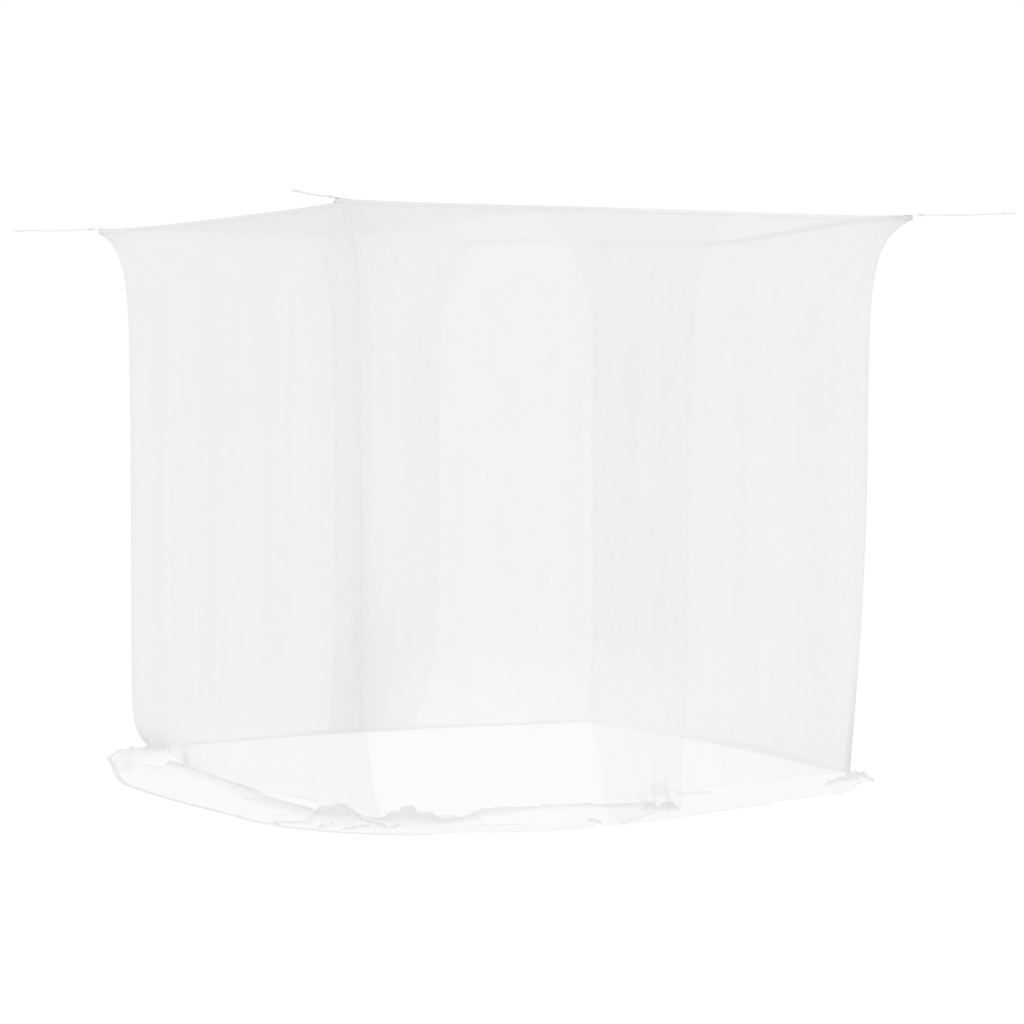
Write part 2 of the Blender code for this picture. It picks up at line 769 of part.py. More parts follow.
def tape_material(name):
    return plain_material(name, TAPE_COLOUR, TAPE_ROUGHNESS)


def string_material(name):
    return plain_material(name, STRING_COLOUR, STRING_ROUGHNESS)


def build():
    clear_scene()
    net = new_collection("mosquito_net")
    roof_panel(net, net_material("roof_panel"))
    for name in ("left", "right"):
        side_wall(name, net, net_material(name + "_wall"))
        side_hem(name, net, tape_material(name + "_hem_tape"))
    for name in WALLS:
        roof_tape(name, net, tape_material(name + "_roof_tape"))
    for name in CORNERS:
        corner_patch(name, net, tape_material(name + "_corner_patch"))
        corner_tab(name, net, tape_material(name + "_corner_tab"))
        seam_tape(name, net, tape_material(name + "_seam_tape"))
        knot(name, "_tab_knot", first_knot_distance(), net, string_material(name + "_tab_knot"))
        tie_string(name, net, string_material(name + "_tie_string"))
        knot(name, "_end_knot", last_knot_distance(), net, string_material(name + "_end_knot"))
        end_loop(name, net, string_material(name + "_string_loop"))
    for name in FLAPS:
        flap_top(name, net, net_material(name + "_door_top"))
        fold_line = hinge_empty(name, net)
        hang_on(flap_fold(name, net, net_material(name + "_door_flap")), fold_line)
        hang_on(flap_edge_tape(name, net, tape_material(name + "_door_edge_tape")), fold_line)
        hang_on(flap_hem(name, net, tape_material(name + "_door_hem_tape")), fold_line)


build()
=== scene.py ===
# %% [markdown]
# # A hanging mosquito net
#
# The real thing is a box of sheer knitted cloth, hung by four strings. A square roof carries two plain side
# walls, and a front and a back wall that are each two overlapping door flaps. The cloth is longer than the
# drop, so the surplus lies on the floor. This lesson dresses the plain solids of that net: each sheet
# becomes one surface of fine mesh, each tape a woven strip with stitches, and each string a twisted cord.
# %% Load the solids
import math
from functools import partial

import bmesh
import bpy
import numpy as np
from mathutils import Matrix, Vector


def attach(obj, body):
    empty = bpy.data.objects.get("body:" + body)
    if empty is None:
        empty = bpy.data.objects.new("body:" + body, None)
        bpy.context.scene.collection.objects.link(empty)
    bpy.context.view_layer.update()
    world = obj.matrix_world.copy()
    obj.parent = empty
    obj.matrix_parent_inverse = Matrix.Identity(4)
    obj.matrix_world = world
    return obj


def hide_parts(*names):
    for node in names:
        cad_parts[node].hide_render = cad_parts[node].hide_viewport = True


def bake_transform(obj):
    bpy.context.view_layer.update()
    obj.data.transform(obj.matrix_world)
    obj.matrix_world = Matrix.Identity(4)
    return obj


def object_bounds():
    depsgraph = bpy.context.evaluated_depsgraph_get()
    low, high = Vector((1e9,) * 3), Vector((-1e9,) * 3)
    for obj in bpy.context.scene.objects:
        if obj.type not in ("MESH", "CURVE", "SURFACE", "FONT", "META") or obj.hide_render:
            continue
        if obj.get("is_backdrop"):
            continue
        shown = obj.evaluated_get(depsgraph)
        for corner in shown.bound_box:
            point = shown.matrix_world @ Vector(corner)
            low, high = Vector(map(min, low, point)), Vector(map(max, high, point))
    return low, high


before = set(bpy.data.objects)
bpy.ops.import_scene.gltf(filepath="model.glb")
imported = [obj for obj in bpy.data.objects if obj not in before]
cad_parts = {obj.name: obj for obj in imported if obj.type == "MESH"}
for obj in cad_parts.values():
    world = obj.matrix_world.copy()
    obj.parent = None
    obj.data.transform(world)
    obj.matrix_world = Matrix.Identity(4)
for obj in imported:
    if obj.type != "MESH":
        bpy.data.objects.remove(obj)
cad_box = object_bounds()

# %% [markdown]
# ## The camera
#
# The photograph was taken from ten metres away with a long lens, a little above the floor, so the upright
# lines stay upright. The roof's four corners and the floor fix the camera's place: it can be fitted by
# trying places until the drawn corners meet the photographed ones. The result of that fit is written here.
# %% Camera
FRAME_PIXELS = 1024
FOCAL_PIXELS = 3096
SENSOR = 36

camera_data = bpy.data.cameras.new("camera")
camera_data.sensor_fit = "HORIZONTAL"
camera_data.sensor_width = SENSOR
camera_data.lens = SENSOR * FOCAL_PIXELS / FRAME_PIXELS
camera_data.clip_end = 300
camera = bpy.data.objects.new("camera", camera_data)
camera.location = (-4.62, -9.16, -0.55)
camera.rotation_euler = (math.radians(90 - 2.26), 0, math.radians(-27.2))
bpy.context.scene.collection.objects.link(camera)
bpy.context.scene.camera = camera
print("lens", round(camera_data.lens, 1), "mm")

# %% [markdown]
# ## Node helpers
#
# Every pattern here is a formula, and a formula in Blender is a chain of Math nodes. Linked one by one, they
# hide it. So a node's output is wrapped in a small class, and the sum or product of two of them adds the
# Math node that works it out. The same helpers serve materials and Geometry Nodes alike.
# %% Formulas from nodes


class Signal:
    """What a node puts out. Adding or multiplying signals adds Math nodes."""

    def __init__(self, tree, socket):
        self.tree, self.socket = tree, socket

    def beside(self, name):
        """Another output of the same node."""
        return Signal(self.tree, self.socket.node.outputs[name])

    def __add__(self, other):
        return calc("ADD", self, other)

    def __sub__(self, other):
        return calc("SUBTRACT", self, other)

    def __rsub__(self, other):
        return calc("SUBTRACT", other, self)

    def __mul__(self, other):
        return calc("MULTIPLY", self, other)

    def __truediv__(self, other):
        return calc("DIVIDE", self, other)

    def __rtruediv__(self, other):
        return calc("DIVIDE", other, self)

    def __neg__(self):
        return calc("MULTIPLY", self, -1.0)

    __radd__, __rmul__ = __add__, __mul__


def feed(tree, sockets, values):
    """Sets sockets to plain values, or links them to signals. An underscore in a name is a space."""
    for label, value in values.items():
        socket = sockets[label.replace("_", " ") if isinstance(label, str) else label]
        if isinstance(value, Signal):
            tree.links.new(value.socket, socket)
        else:
            socket.default_value = value


def add(tree, kind, *values, out=0, settings=None, **named):
    """Adds a node, feeds its inputs in order or by name, and returns one of its outputs."""
    node = tree.nodes.new(kind)
    for name, value in (settings or {}).items():
        setattr(node, name, value)
    feed(tree, node.inputs, {**dict(enumerate(values)), **named})
    return Signal(tree, node.outputs[out])


def calc(operation, *values):
    """Adds a Math node. At least one value is a signal, and the others may be numbers."""
    tree = next(value.tree for value in values if isinstance(value, Signal))
    return add(tree, "ShaderNodeMath", *values, settings={"operation": operation})


def vector_calc(operation, first, second, out="Vector"):
    return add(first.tree, "ShaderNodeVectorMath", first, second, out=out, settings={"operation": operation})


def scaled(vector, factor):
    return add(vector.tree, "ShaderNodeVectorMath", vector, settings={"operation": "SCALE"}, Scale=factor)


def split(vector):
    """The X, Y and Z of a vector."""
    x = add(vector.tree, "ShaderNodeSeparateXYZ", vector)
    return x, x.beside("Y"), x.beside("Z")


def smooth_step(value, low, high):
    settings = {"interpolation_type": "SMOOTHSTEP"}
    return add(value.tree, "ShaderNodeMapRange", value, low, high, out="Result", settings=settings)


def mix(share, first, second, kind="FLOAT"):
    """A mix of two numbers, or of two colours where the kind is RGBA."""
    low, out = (6, 2) if kind == "RGBA" else (2, 0)
    mixed = add(share.tree, "ShaderNodeMix", share, out=out, settings={"data_type": kind})
    feed(share.tree, mixed.socket.node.inputs, {low: first, low + 1: second})
    return mixed


def mix_colour(share, first, second):
    return mix(share, first, second, "RGBA")


def noise(vector, scale, detail=2.0):
    return add(vector.tree, "ShaderNodeTexNoise", Vector=vector, Scale=scale, Detail=detail)


# %% Groups and materials


def new_group(name, kind, inputs, outputs):
    """A node group with named sockets. An input is a type and a default, and an output is a type."""
    group = bpy.data.node_groups.new(name, kind)
    for label, (socket_type, default) in inputs.items():
        socket = group.interface.new_socket(label, in_out="INPUT", socket_type=socket_type)
        if default is not None:
            socket.default_value = default
    for label, socket_type in outputs.items():
        group.interface.new_socket(label, in_out="OUTPUT", socket_type=socket_type)
    given = group.nodes.new("NodeGroupInput").outputs
    group.nodes.new("NodeGroupOutput")
    return group, {label: Signal(group, given[label]) for label in inputs}


def give(group, **outputs):
    """Puts the results out of a group."""
    last = next(node for node in group.nodes if node.bl_idname == "NodeGroupOutput")
    feed(group, last.inputs, outputs)
    print(group.name, "has", len(group.nodes), "nodes")


def use_group(tree, group, **values):
    """Places a group in a material or in another tree, and returns its outputs by name."""
    node = tree.nodes.new("ShaderNodeGroup" if tree.bl_idname == "ShaderNodeTree" else "GeometryNodeGroup")
    node.node_tree = group
    feed(tree, node.inputs, values)
    return {socket.name: Signal(tree, socket) for socket in node.outputs}


def new_material(name):
    material = bpy.data.materials.new(name)
    material.use_nodes = True
    return material, material.node_tree


def grey(level, warmth=0.0):
    """A grey, a little warm where it has less blue."""
    return (level, level, level - warmth, 1)


# %% [markdown]
# ## Floor and light
#
# A sheer white net shows only by how little it darkens a white ground, so the ground has to be an even white
# and the light soft. The floor could be lit until it clips, but then the net would clip too. Instead the
# floor glows a little for the camera's own rays, and keeps the net's shadow in the rest of its tone.
# %% Floor
HANG_HEIGHT = 1.79
FLOOR_SIDE = 160.0
FLOOR_DROP = 0.0002
FLOOR_GREY = 0.92
SEEN_GREY = 0.16
SEEN_GLOW = 0.86

floor_material, tree = new_material("studio_floor")
put = partial(add, tree)
seen = put("ShaderNodeLightPath", out="Is Camera Ray")
plain = put("ShaderNodeBsdfDiffuse", grey(FLOOR_GREY))
shown = put("ShaderNodeBsdfDiffuse", grey(SEEN_GREY))
both = put("ShaderNodeAddShader", shown, put("ShaderNodeEmission", Strength=SEEN_GLOW))
choice = put("ShaderNodeMixShader", seen, plain, both)
feed(tree, tree.nodes["Material Output"].inputs, {"Surface": choice})
tree.nodes.remove(tree.nodes["Principled BSDF"])

floor_mesh = bpy.data.meshes.new("studio_floor")
half = FLOOR_SIDE / 2
corners = [(-half, -half), (half, -half), (half, half), (-half, half)]
floor_mesh.from_pydata([(x, y, -HANG_HEIGHT - FLOOR_DROP) for x, y in corners], [], [(0, 1, 2, 3)])
floor_mesh.materials.append(floor_material)
floor = bpy.data.objects.new("studio_floor", floor_mesh)
bpy.context.scene.collection.objects.link(floor)
floor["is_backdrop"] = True
print("floor at", -HANG_HEIGHT)

# %% World and lamps
SKY_LEVEL = 0.71
LAMPS = {
    "key": ((42, 0, -46), 0.47),
    "fill": ((48, 0, 40), 0.13),
    "back": ((42, 0, 158), 0.12),
    "top": ((8, 0, 20), 0.38),
}
LAMP_SIZE = 50

world = bpy.data.worlds.new("studio")
world.use_nodes = True
bpy.context.scene.world = world
tree = world.node_tree
seen = add(tree, "ShaderNodeLightPath", out="Is Camera Ray")
level = add(tree, "ShaderNodeMapRange", seen, To_Min=SKY_LEVEL, To_Max=1.0)
feed(tree, tree.nodes["Background"].inputs, {"Color": grey(1), "Strength": level})

for label, (turn, strength) in LAMPS.items():
    lamp = bpy.data.lights.new(label + "_lamp", "SUN")
    lamp.energy = strength
    lamp.angle = math.radians(LAMP_SIZE)
    lamp_object = bpy.data.objects.new(label + "_lamp", lamp)
    lamp_object.rotation_euler = [math.radians(angle) for angle in turn]
    bpy.context.scene.collection.objects.link(lamp_object)

bpy.context.scene.view_settings.view_transform = "Standard"
print("lamps", list(LAMPS))

# %% [markdown]
# ## The knitted mesh
#
# Mosquito netting is knitted from a very thin yarn into small six-sided holes. Modelling each hole would
# take millions of faces, so the holes are a mask that makes the surface see-through. Three sets of waves, a
# sixth of a turn apart, add up to a honeycomb: their sum is high in the holes and low along the yarn. Slow
# noise then makes the knit a little denser here and there, as in real cloth.
# %% Group: knitted mesh
FLOAT, COLOUR, VECTOR = "NodeSocketFloat", "NodeSocketColor", "NodeSocketVector"
HONEYCOMB = 4 * math.pi / math.sqrt(3)
# The sum of the waves on the yarn and in the open hole
YARN_SUM, HOLE_SUM = -0.9, 0.6
CLOUD_SCALE = 2.6
STREAK_STRETCH = (9.0, 0.7, 1.0)

knit, given = new_group(
    "Knitted mesh",
    "ShaderNodeTree",
    {
        "Vector": (VECTOR, None), "Hole Pitch": (FLOAT, 0.0018), "Hole Cover": (FLOAT, 0.10),
        "Yarn Cover": (FLOAT, 0.40), "Unevenness": (FLOAT, 0.06),
        "Light": (COLOUR, grey(0.95)), "Dark": (COLOUR, grey(0.90)),
    },
    {"Cover": FLOAT, "Colour": COLOUR, "Height": FLOAT},
)
per_metre = HONEYCOMB / given["Hole Pitch"]
waves_sum = 0.0
for turn in (0.0, math.pi / 3, 2 * math.pi / 3):
    direction = (math.cos(turn), math.sin(turn), 0)
    across = vector_calc("DOT_PRODUCT", given["Vector"], direction, out="Value")
    waves_sum = calc("COSINE", across * per_metre) + waves_sum
yarn = 1.0 - smooth_step(waves_sum, YARN_SUM, HOLE_SUM)
cover = yarn * (given["Yarn Cover"] - given["Hole Cover"]) + given["Hole Cover"]
cloud = noise(given["Vector"], CLOUD_SCALE)
streak = noise(vector_calc("MULTIPLY", given["Vector"], STREAK_STRETCH), 1.0, detail=3.0)
density = (cloud + streak - 1.0) * given["Unevenness"] + 1.0
give(knit, Cover=cover * density, Colour=mix_colour(cloud, given["Dark"], given["Light"]), Height=yarn)

# %% [markdown]
# ## The woven tape
#
# The seams are bound with a narrow cotton tape, woven with a slanting rib. Two slanting waves that cross
# each other in a herringbone give its ribs, and a fine noise gives its fibres. The same group serves the
# webbing tabs, with a coarser rib.
# %% Group: woven tape
CHEVRON_WIDTH = 0.004
FIBRE_SHARE = 0.4

weave, given = new_group(
    "Woven tape",
    "ShaderNodeTree",
    {
        "Vector": (VECTOR, None), "Rib Pitch": (FLOAT, 0.0012), "Fibre Scale": (FLOAT, 900.0),
        "Light": (COLOUR, grey(0.9)), "Dark": (COLOUR, grey(0.8)),
    },
    {"Colour": COLOUR, "Height": FLOAT},
)
x, y, _ = split(given["Vector"])
slanting = (x + calc("PINGPONG", y, CHEVRON_WIDTH)) * (2 * math.pi / given["Rib Pitch"])
rib = calc("SINE", slanting) * 0.5 + 0.5
fibres = noise(given["Vector"], given["Fibre Scale"], detail=1.0)
relief = fibres * FIBRE_SHARE + rib * (1 - FIBRE_SHARE)
give(weave, Colour=mix_colour(relief, given["Dark"], given["Light"]), Height=relief)

# %% [markdown]
# ## Dust near the floor
#
# A net that trails on the floor greys a little along its lowest edge. One group, placed in every material,
# tints whatever colour comes in, by how low the point lies, broken up with noise.
# %% Group: floor dust
SPOT_SCALE = 22.0
SPOT_FROM, SPOT_TO = 0.35, 0.75

dust, given = new_group(
    "Floor dust",
    "ShaderNodeTree",
    {
        "Colour": (COLOUR, None), "Vector": (VECTOR, None), "Dust": (COLOUR, (0.72, 0.71, 0.69, 1)),
        "Floor Level": (FLOAT, -HANG_HEIGHT), "Reach": (FLOAT, 0.06), "Amount": (FLOAT, 0.25),
    },
    {"Colour": COLOUR},
)
_, _, z = split(given["Vector"])
low = 1.0 - smooth_step(z - given["Floor Level"], 0.0, given["Reach"])
spots = smooth_step(noise(given["Vector"], SPOT_SCALE), SPOT_FROM, SPOT_TO)
give(dust, Colour=mix_colour(low * spots * given["Amount"], given["Colour"], given["Dust"]))

# %% [markdown]
# ## Materials
#
# A ray that meets the net at a slant passes more yarn, so a wall that is seen from the side looks denser
# than one that is seen head on. Each layer lets a share of the light by. At a slant it is as if the cloth
# were thicker by one over the cosine of the angle, which is that share raised to that power. Layer Weight
# gives the angle. The tapes are woven, and the knots and strings have only their fibres as pattern.
# %% Parts of a material
# How much of its cover the net has for rays other than the camera's
LIT_SHARE = 0.08
LEAST_COSINE = 0.75


def own_uv(tree):
    return add(tree, "ShaderNodeUVMap", settings={"uv_map": "UVMap"})


def object_place(tree):
    return add(tree, "ShaderNodeTexCoord", out="Object")


def slanted(cover):
    """The share of a ray that the cloth stops, which grows where the ray meets it at a slant."""
    facing = add(cover.tree, "ShaderNodeLayerWeight", out="Facing", Blend=0.5)
    cosine = calc("MAXIMUM", 1.0 - facing, LEAST_COSINE)
    stopped = 1.0 - calc("POWER", 1.0 - cover, 1.0 / cosine)
    seen = add(cover.tree, "ShaderNodeLightPath", out="Is Camera Ray")
    return stopped * (seen * (1 - LIT_SHARE) + LIT_SHARE)


def finish_material(tree, colour, height, dust_share, roughness, bump_height, alpha=1.0):
    """Feeds the shader: a dusted colour, a roughness, a bump and the share that it covers."""
    dusty = use_group(tree, dust, Colour=colour, Vector=object_place(tree), Amount=dust_share)
    normal = add(tree, "ShaderNodeBump", Distance=bump_height, Height=height)
    values = {"Base Color": dusty["Colour"], "Roughness": roughness, "Normal": normal, "Alpha": alpha}
    feed(tree, tree.nodes["Principled BSDF"].inputs, values)


# %% Materials
NET_LIGHT, NET_DARK = grey(0.955, 0.002), grey(0.93, 0.002)
# Painted shade: the net's colour is mixed towards this grey where the cloth is folded, crumpled or bunched
FOLD_PAINTED_SHADE = grey(0.80, 0.003)
# How much of what a fold leaves open is closed by the cloth behind it
FOLD_COVER = 0.5


def net_material(name, hole_cover, yarn_cover):
    material, tree = new_material(name)
    outputs = use_group(
        tree, knit, Vector=own_uv(tree), Hole_Cover=hole_cover, Yarn_Cover=yarn_cover,
        Light=NET_LIGHT, Dark=NET_DARK,
    )
    # The fold mask makes the net denser, which is real, and paints shade into its colour
    fold_cover_and_shade = add(tree, "ShaderNodeAttribute", out="Fac", settings={"attribute_name": "Folded"})
    shaded = mix_colour(fold_cover_and_shade, outputs["Colour"], FOLD_PAINTED_SHADE)
    cover = fold_cover_and_shade * FOLD_COVER * (1.0 - outputs["Cover"]) + outputs["Cover"]
    finish_material(
        tree, shaded, outputs["Height"], dust_share=0.12, roughness=0.75, bump_height=0.0001,
        alpha=slanted(cover),
    )
    return material


def tape_material(name, light, dark, rib_pitch=0.0012, bump_height=0.0002, alpha=1.0):
    material, tree = new_material(name)
    outputs = use_group(tree, weave, Vector=own_uv(tree), Rib_Pitch=rib_pitch, Light=light, Dark=dark)
    sizes = {"dust_share": 0.3, "roughness": 0.65, "bump_height": bump_height}
    finish_material(tree, outputs["Colour"], outputs["Height"], **sizes, alpha=alpha)
    return material


def cord_material(name, light, dark, fibre_scale):
    material, tree = new_material(name)
    fibres = noise(object_place(tree), fibre_scale, detail=3.0)
    colour = mix_colour(smooth_step(fibres, 0.3, 0.7), dark, light)
    finish_material(tree, colour, fibres, dust_share=0.2, roughness=0.7, bump_height=0.0003)
    return material


net_cloth = net_material("sheer_knitted_net", hole_cover=0.30, yarn_cover=0.58)
folded_net = net_material("folded_net_edge", hole_cover=0.03, yarn_cover=0.11)
faint_net = net_material("faint_folded_edge", hole_cover=0.01, yarn_cover=0.03)
dense_fold = net_material("dense_folded_edge", hole_cover=0.35, yarn_cover=0.60)
cotton_tape = tape_material("cotton_tape", grey(0.92, 0.005), grey(0.85, 0.005))
# Lighter, see-through copies of the cotton tape, which paint the light that falls on the tapes; the sheer
# one is the most lit
sheer_lit_tape = tape_material("sheer_lit_tape", grey(0.94, 0.005), grey(0.88, 0.005), alpha=0.17)
thin_lit_tape = tape_material("thin_lit_cotton_tape", grey(0.92, 0.005), grey(0.85, 0.005), alpha=0.38)
webbing = tape_material(
    "cotton_webbing", grey(0.97, 0.005), grey(0.92, 0.01), rib_pitch=0.0013, bump_height=0.00012
)
string_yarn = cord_material("twisted_cotton", grey(0.97, 0.005), grey(0.88, 0.01), fibre_scale=700.0)
thread = cord_material("sewing_thread", grey(0.97, 0.005), grey(0.92, 0.005), fibre_scale=2500.0)
net_kinds = (net_cloth, folded_net, faint_net, dense_fold)
yarn_kinds = (cotton_tape, sheer_lit_tape, thin_lit_tape, webbing, string_yarn, thread)
print("materials", [material.name for material in (*net_kinds, *yarn_kinds)])

# %% [markdown]
# ## Sizes of the net
#
# Most of these are the solids' own sizes, and some of the floor cloth's follow the photograph more
# closely. A corner is where a string pulls. A wall has an axis that it runs along, a side, a sag of its roof
# seam and a spread of its foot. A flap has a free edge, given at the roof, at mid height and at the floor.
# Everything is in metres, and a depth is measured down from the strings' level.
# %% Sizes
ROOF_SIDE = 2.0
HALF = ROOF_SIDE / 2
CLOTH = 0.0008
SEAM_GAP = 0.0004
CORNER_GAP = 0.003
TAPE = 0.0008
SEWN_GAP = 0.0006
LAYER = CLOTH + SEWN_GAP
HANGING_GAP = 0.0052
ROOF_TAPE_WIDTH = 0.014
HEM_WIDTH = 0.016
EDGE_WIDTH = 0.012
SEAM_TAPE_WIDTH = 0.010
PATCH_SIDE = 0.055
PATCH_SHARE = PATCH_SIDE / ROOF_SIDE
HORN_DEPTH = 0.075
HORN_SPREAD = 0.20
HORN_POWER = 0.8
ROOF_SAG = 0.035
FOOT_HEIGHT = 0.50
FAN_LENGTH = 0.21
HANGING_DEPTH = 0.25
HANGING_LENGTH = 0.30
NARROWING_LENGTH = 0.38
EDGE_DRAW = 0.12
FOLD_TOP = 0.13
RIM_INSET = 0.0016

# A corner: its side, how far its middle and its foot are drawn in, and how its foot spreads
CORNERS = {
    "front_left": {
        "side": (-1, -1), "middle": (0.135, 0.115), "foot": (0.10, -0.08), "rise": 0.5, "power": 2.0,
    },
    "front_right": {
        "side": (1, -1), "middle": (0.10, 0.10), "foot": (0.145, 0.135), "rise": 1.05, "power": 1.8,
    },
    "back_left": {
        "side": (-1, 1), "middle": (0.083, 0.083), "foot": (0.14, 0.13), "rise": 0.5, "power": 9.0,
    },
    "back_right": {
        "side": (1, 1), "middle": (0.10, 0.10), "foot": (0.13, 0.12), "rise": 0.5, "power": 2.0,
    },
}
# A skirt is the width of the floor cloth, at even steps along the wall
# A skew moves the middle of a bulge or of the skirt's drift along the wall
# Gathers are a corner, a reach, the depth where they start, a pitch and a size
# A bundle is a place, a reach, a height, a pitch, a lean and a size
# A floor shade and density makes a wall's whole floor cloth denser and paints shade into its colour
WALLS = {
    "front": {
        "along": 0, "side": -1, "ends": ("front_left", "front_right"), "sag": -0.004,
        "bulge": 0.20, "bulge_skew": 0.6,
        "skirt": (0.33, 0.30, 0.285, 0.27, 0.275, 0.305, 0.333, 0.358, 0.366, 0.372, 0.352, 0.31, 0.13),
        "drift": -0.25, "skirt_skew": 2.0, "ruck": 0.020, "floor_shade_and_density": 0.0,
        "gathers": [("front_right", 0.022, 1.30, 0.020, 0.005)],
        "bundle": (0.020, 0.050, 0.065, 0.062, 0.30, 0.010),
    },
    "back": {
        "along": 0, "side": 1, "ends": ("back_left", "back_right"), "sag": 0.012,
        "bulge": 0.08, "bulge_skew": 1.0,
        "skirt": (0.05, 0.155, 0.10), "drift": 0.0, "skirt_skew": 1.0, "ruck": 0.0, "floor_shade_and_density": 0.45,
    },
    "left": {
        "along": 1, "side": -1, "ends": ("front_left", "back_left"), "sag": 0.0,
        "bulge": 0.10, "bulge_skew": 1.0,
        "skirt": (0.33, 0.29, 0.20), "drift": 0.0, "skirt_skew": 1.0, "ruck": 0.030, "floor_shade_and_density": 0.0,
        "gathers": [("back_left", 0.04, 1.62, 0.036, 0.009)],
    },
    "right": {
        "along": 1, "side": 1, "ends": ("front_right", "back_right"), "sag": 0.037,
        "bulge": 0.04, "bulge_skew": 1.0,
        "skirt": (0.025, 0.123, 0.10), "drift": 0.0, "skirt_skew": 1.0, "ruck": 0.0, "floor_shade_and_density": 0.45,
        "gathers": [("front_right", 0.028, 1.30, 0.022, 0.006)],
    },
}
FLAPS = {
    "front_left": {
        "wall": "front", "end": 0, "run": 1, "outer": True,
        "edge": (0.40, 0.235, 0.10), "narrowing": 0.55,
    },
    "front_right": {
        "wall": "front", "end": 1, "run": -1, "outer": False,
        "edge": (-0.33, -0.085, -0.20), "narrowing": 0.0,
    },
    "back_left": {
        "wall": "back", "end": 0, "run": 1, "outer": False,
        "edge": (0.42, 0.25, 0.16), "narrowing": 0.0,
    },
    "back_right": {
        "wall": "back", "end": 1, "run": -1, "outer": True,
        "edge": (-0.235, -0.14, -0.14), "narrowing": 0.0,
    },
}
print(len(WALLS), "walls", len(FLAPS), "flaps")

# %% [markdown]
# ## How the cloth hangs
#
# A corner that is pulled by its string draws the cloth into a horn, which fades down the seam and along the
# roof. Below it the wall hangs nearly straight, and near the floor it spreads. These rules are functions of
# the place along a wall and of the depth, so that a wall, its tapes and its stitches all use the same ones
# and stay together. numpy works out a whole grid of points in one call.
# %% Rules of the corners and walls


def smooth(x):
    x = np.clip(x, 0.0, 1.0)
    return x * x * (3 - 2 * x)


def horn(depth):
    """How much of a corner's pull is left at this depth."""
    return np.exp(-((np.maximum(depth - ROOF_TAPE_WIDTH, 0.0) / HORN_DEPTH) ** HORN_POWER))


def foot(depth, rise=FOOT_HEIGHT, power=2.0):
    """How much of the outward spread is reached at this depth, from 0 to 1 at the floor."""
    return np.maximum(0.0, (depth - (HANG_HEIGHT - rise)) / rise) ** power


def corner_low(corner, axis, depth):
    middle, low = corner["middle"][axis], corner["foot"][axis]
    return HALF - middle - (low - middle) * foot(depth, corner["rise"], corner["power"])


def corner_place(corner, axis, depth):
    return corner_low(corner, axis, depth) + corner["middle"][axis] * horn(depth)


def wall_ends(wall, depth):
    along = wall["along"]
    ends = [CORNERS[name] for name in wall["ends"]]
    return [corner["side"][along] * corner_place(corner, along, depth) for corner in ends]


def fraction_along(wall, along, depth):
    start, end = wall_ends(wall, depth)
    return (along - start) / (end - start)


def hump(u):
    inner = np.clip((u - PATCH_SHARE) / (1 - 2 * PATCH_SHARE), 0.0, 1.0)
    return np.sin(math.pi * inner) ** 2


def place(wall, along, out, height):
    """Points from the place along a wall, the distance out from the net's middle, and the height."""
    along, out, height = np.broadcast_arrays(along, out, height)
    columns = [None, None, height]
    columns[wall["along"]] = along
    columns[1 - wall["along"]] = wall["side"] * out
    return np.stack(columns, axis=-1).astype(float)


# %% [markdown]
# ## Folds
#
# A smooth wall looks like plastic. Hung net has broad soft waves, finer upright folds between them, and
# small folds that fan out below each corner. Each is a sine whose strength fades where the cloth is held.
# The two flaps of a door use the same rule, so they can't cut through each other.
# %% Rules of the folds
WAVE_DEPTH = 0.008
WAVE_PITCH = 0.46
# Where the broad waves fade: below the roof, above the floor, beside a corner and beside a door's middle
WAVE_TOP, WAVE_FOOT, WAVE_SIDE, WAVE_MIDDLE = 0.60, 0.50, 0.14, 0.38
WAVE_FADE = 0.15
FINE_PITCHES = (0.071, 0.103, 0.147, 0.211)
FINE_DEPTH = 0.0006
FINE_TOP, FINE_FOOT, FINE_SIDE, FINE_FADE = 0.45, 0.3, 0.1, 0.06
# The share of the fine folds that is left at the floor
FINE_LEFT = 0.25
FAN_DEPTH = 0.0045
FAN_FOLDS = 17
FAN_REACH = 0.28
# How far from the seam and from the tape a fan's folds begin
FAN_SIDE, FAN_TOP = 0.05, 0.07

random_phases = np.random.default_rng(11).uniform(0, 2 * math.pi, (4, len(FINE_PITCHES), 2))
for index, wall in enumerate(WALLS.values()):
    wall["phases"] = random_phases[index]


def broad_waves(wall, along, depth):
    fade = smooth(depth / WAVE_TOP) * smooth((HANG_HEIGHT - depth) / WAVE_FOOT)
    fade = fade * smooth((HALF - WAVE_SIDE - np.abs(along)) / WAVE_FADE)
    if wall["along"] == 0:
        fade = fade * smooth((np.abs(along) - WAVE_MIDDLE) / WAVE_FADE)
    phase = 0.7 * wall["side"] + wall["along"]
    return WAVE_DEPTH * fade * np.sin(2 * math.pi * along / WAVE_PITCH + phase)


def fine_folds(wall, along, depth):
    """Narrow upright folds of several pitches, which lean a little and come and go."""
    fade = smooth(depth / FINE_TOP)
    fade = fade * (FINE_LEFT + (1 - FINE_LEFT) * smooth((HANG_HEIGHT - depth) / FINE_FOOT))
    fade = fade * smooth((HALF - FINE_SIDE - np.abs(along)) / FINE_FADE)
    total = 0.0
    for pitch, (phase, drift) in zip(FINE_PITCHES, wall["phases"]):
        lean = 0.05 * np.sin(1.7 * depth + drift)
        strength = 0.55 + 0.45 * np.sin(5.3 * along + 2.1 * depth + drift)
        wave = np.sin(2 * math.pi * (along + lean) / pitch + phase)
        total = total + strength * pitch / FINE_PITCHES[0] * wave
    return FINE_DEPTH * fade * total


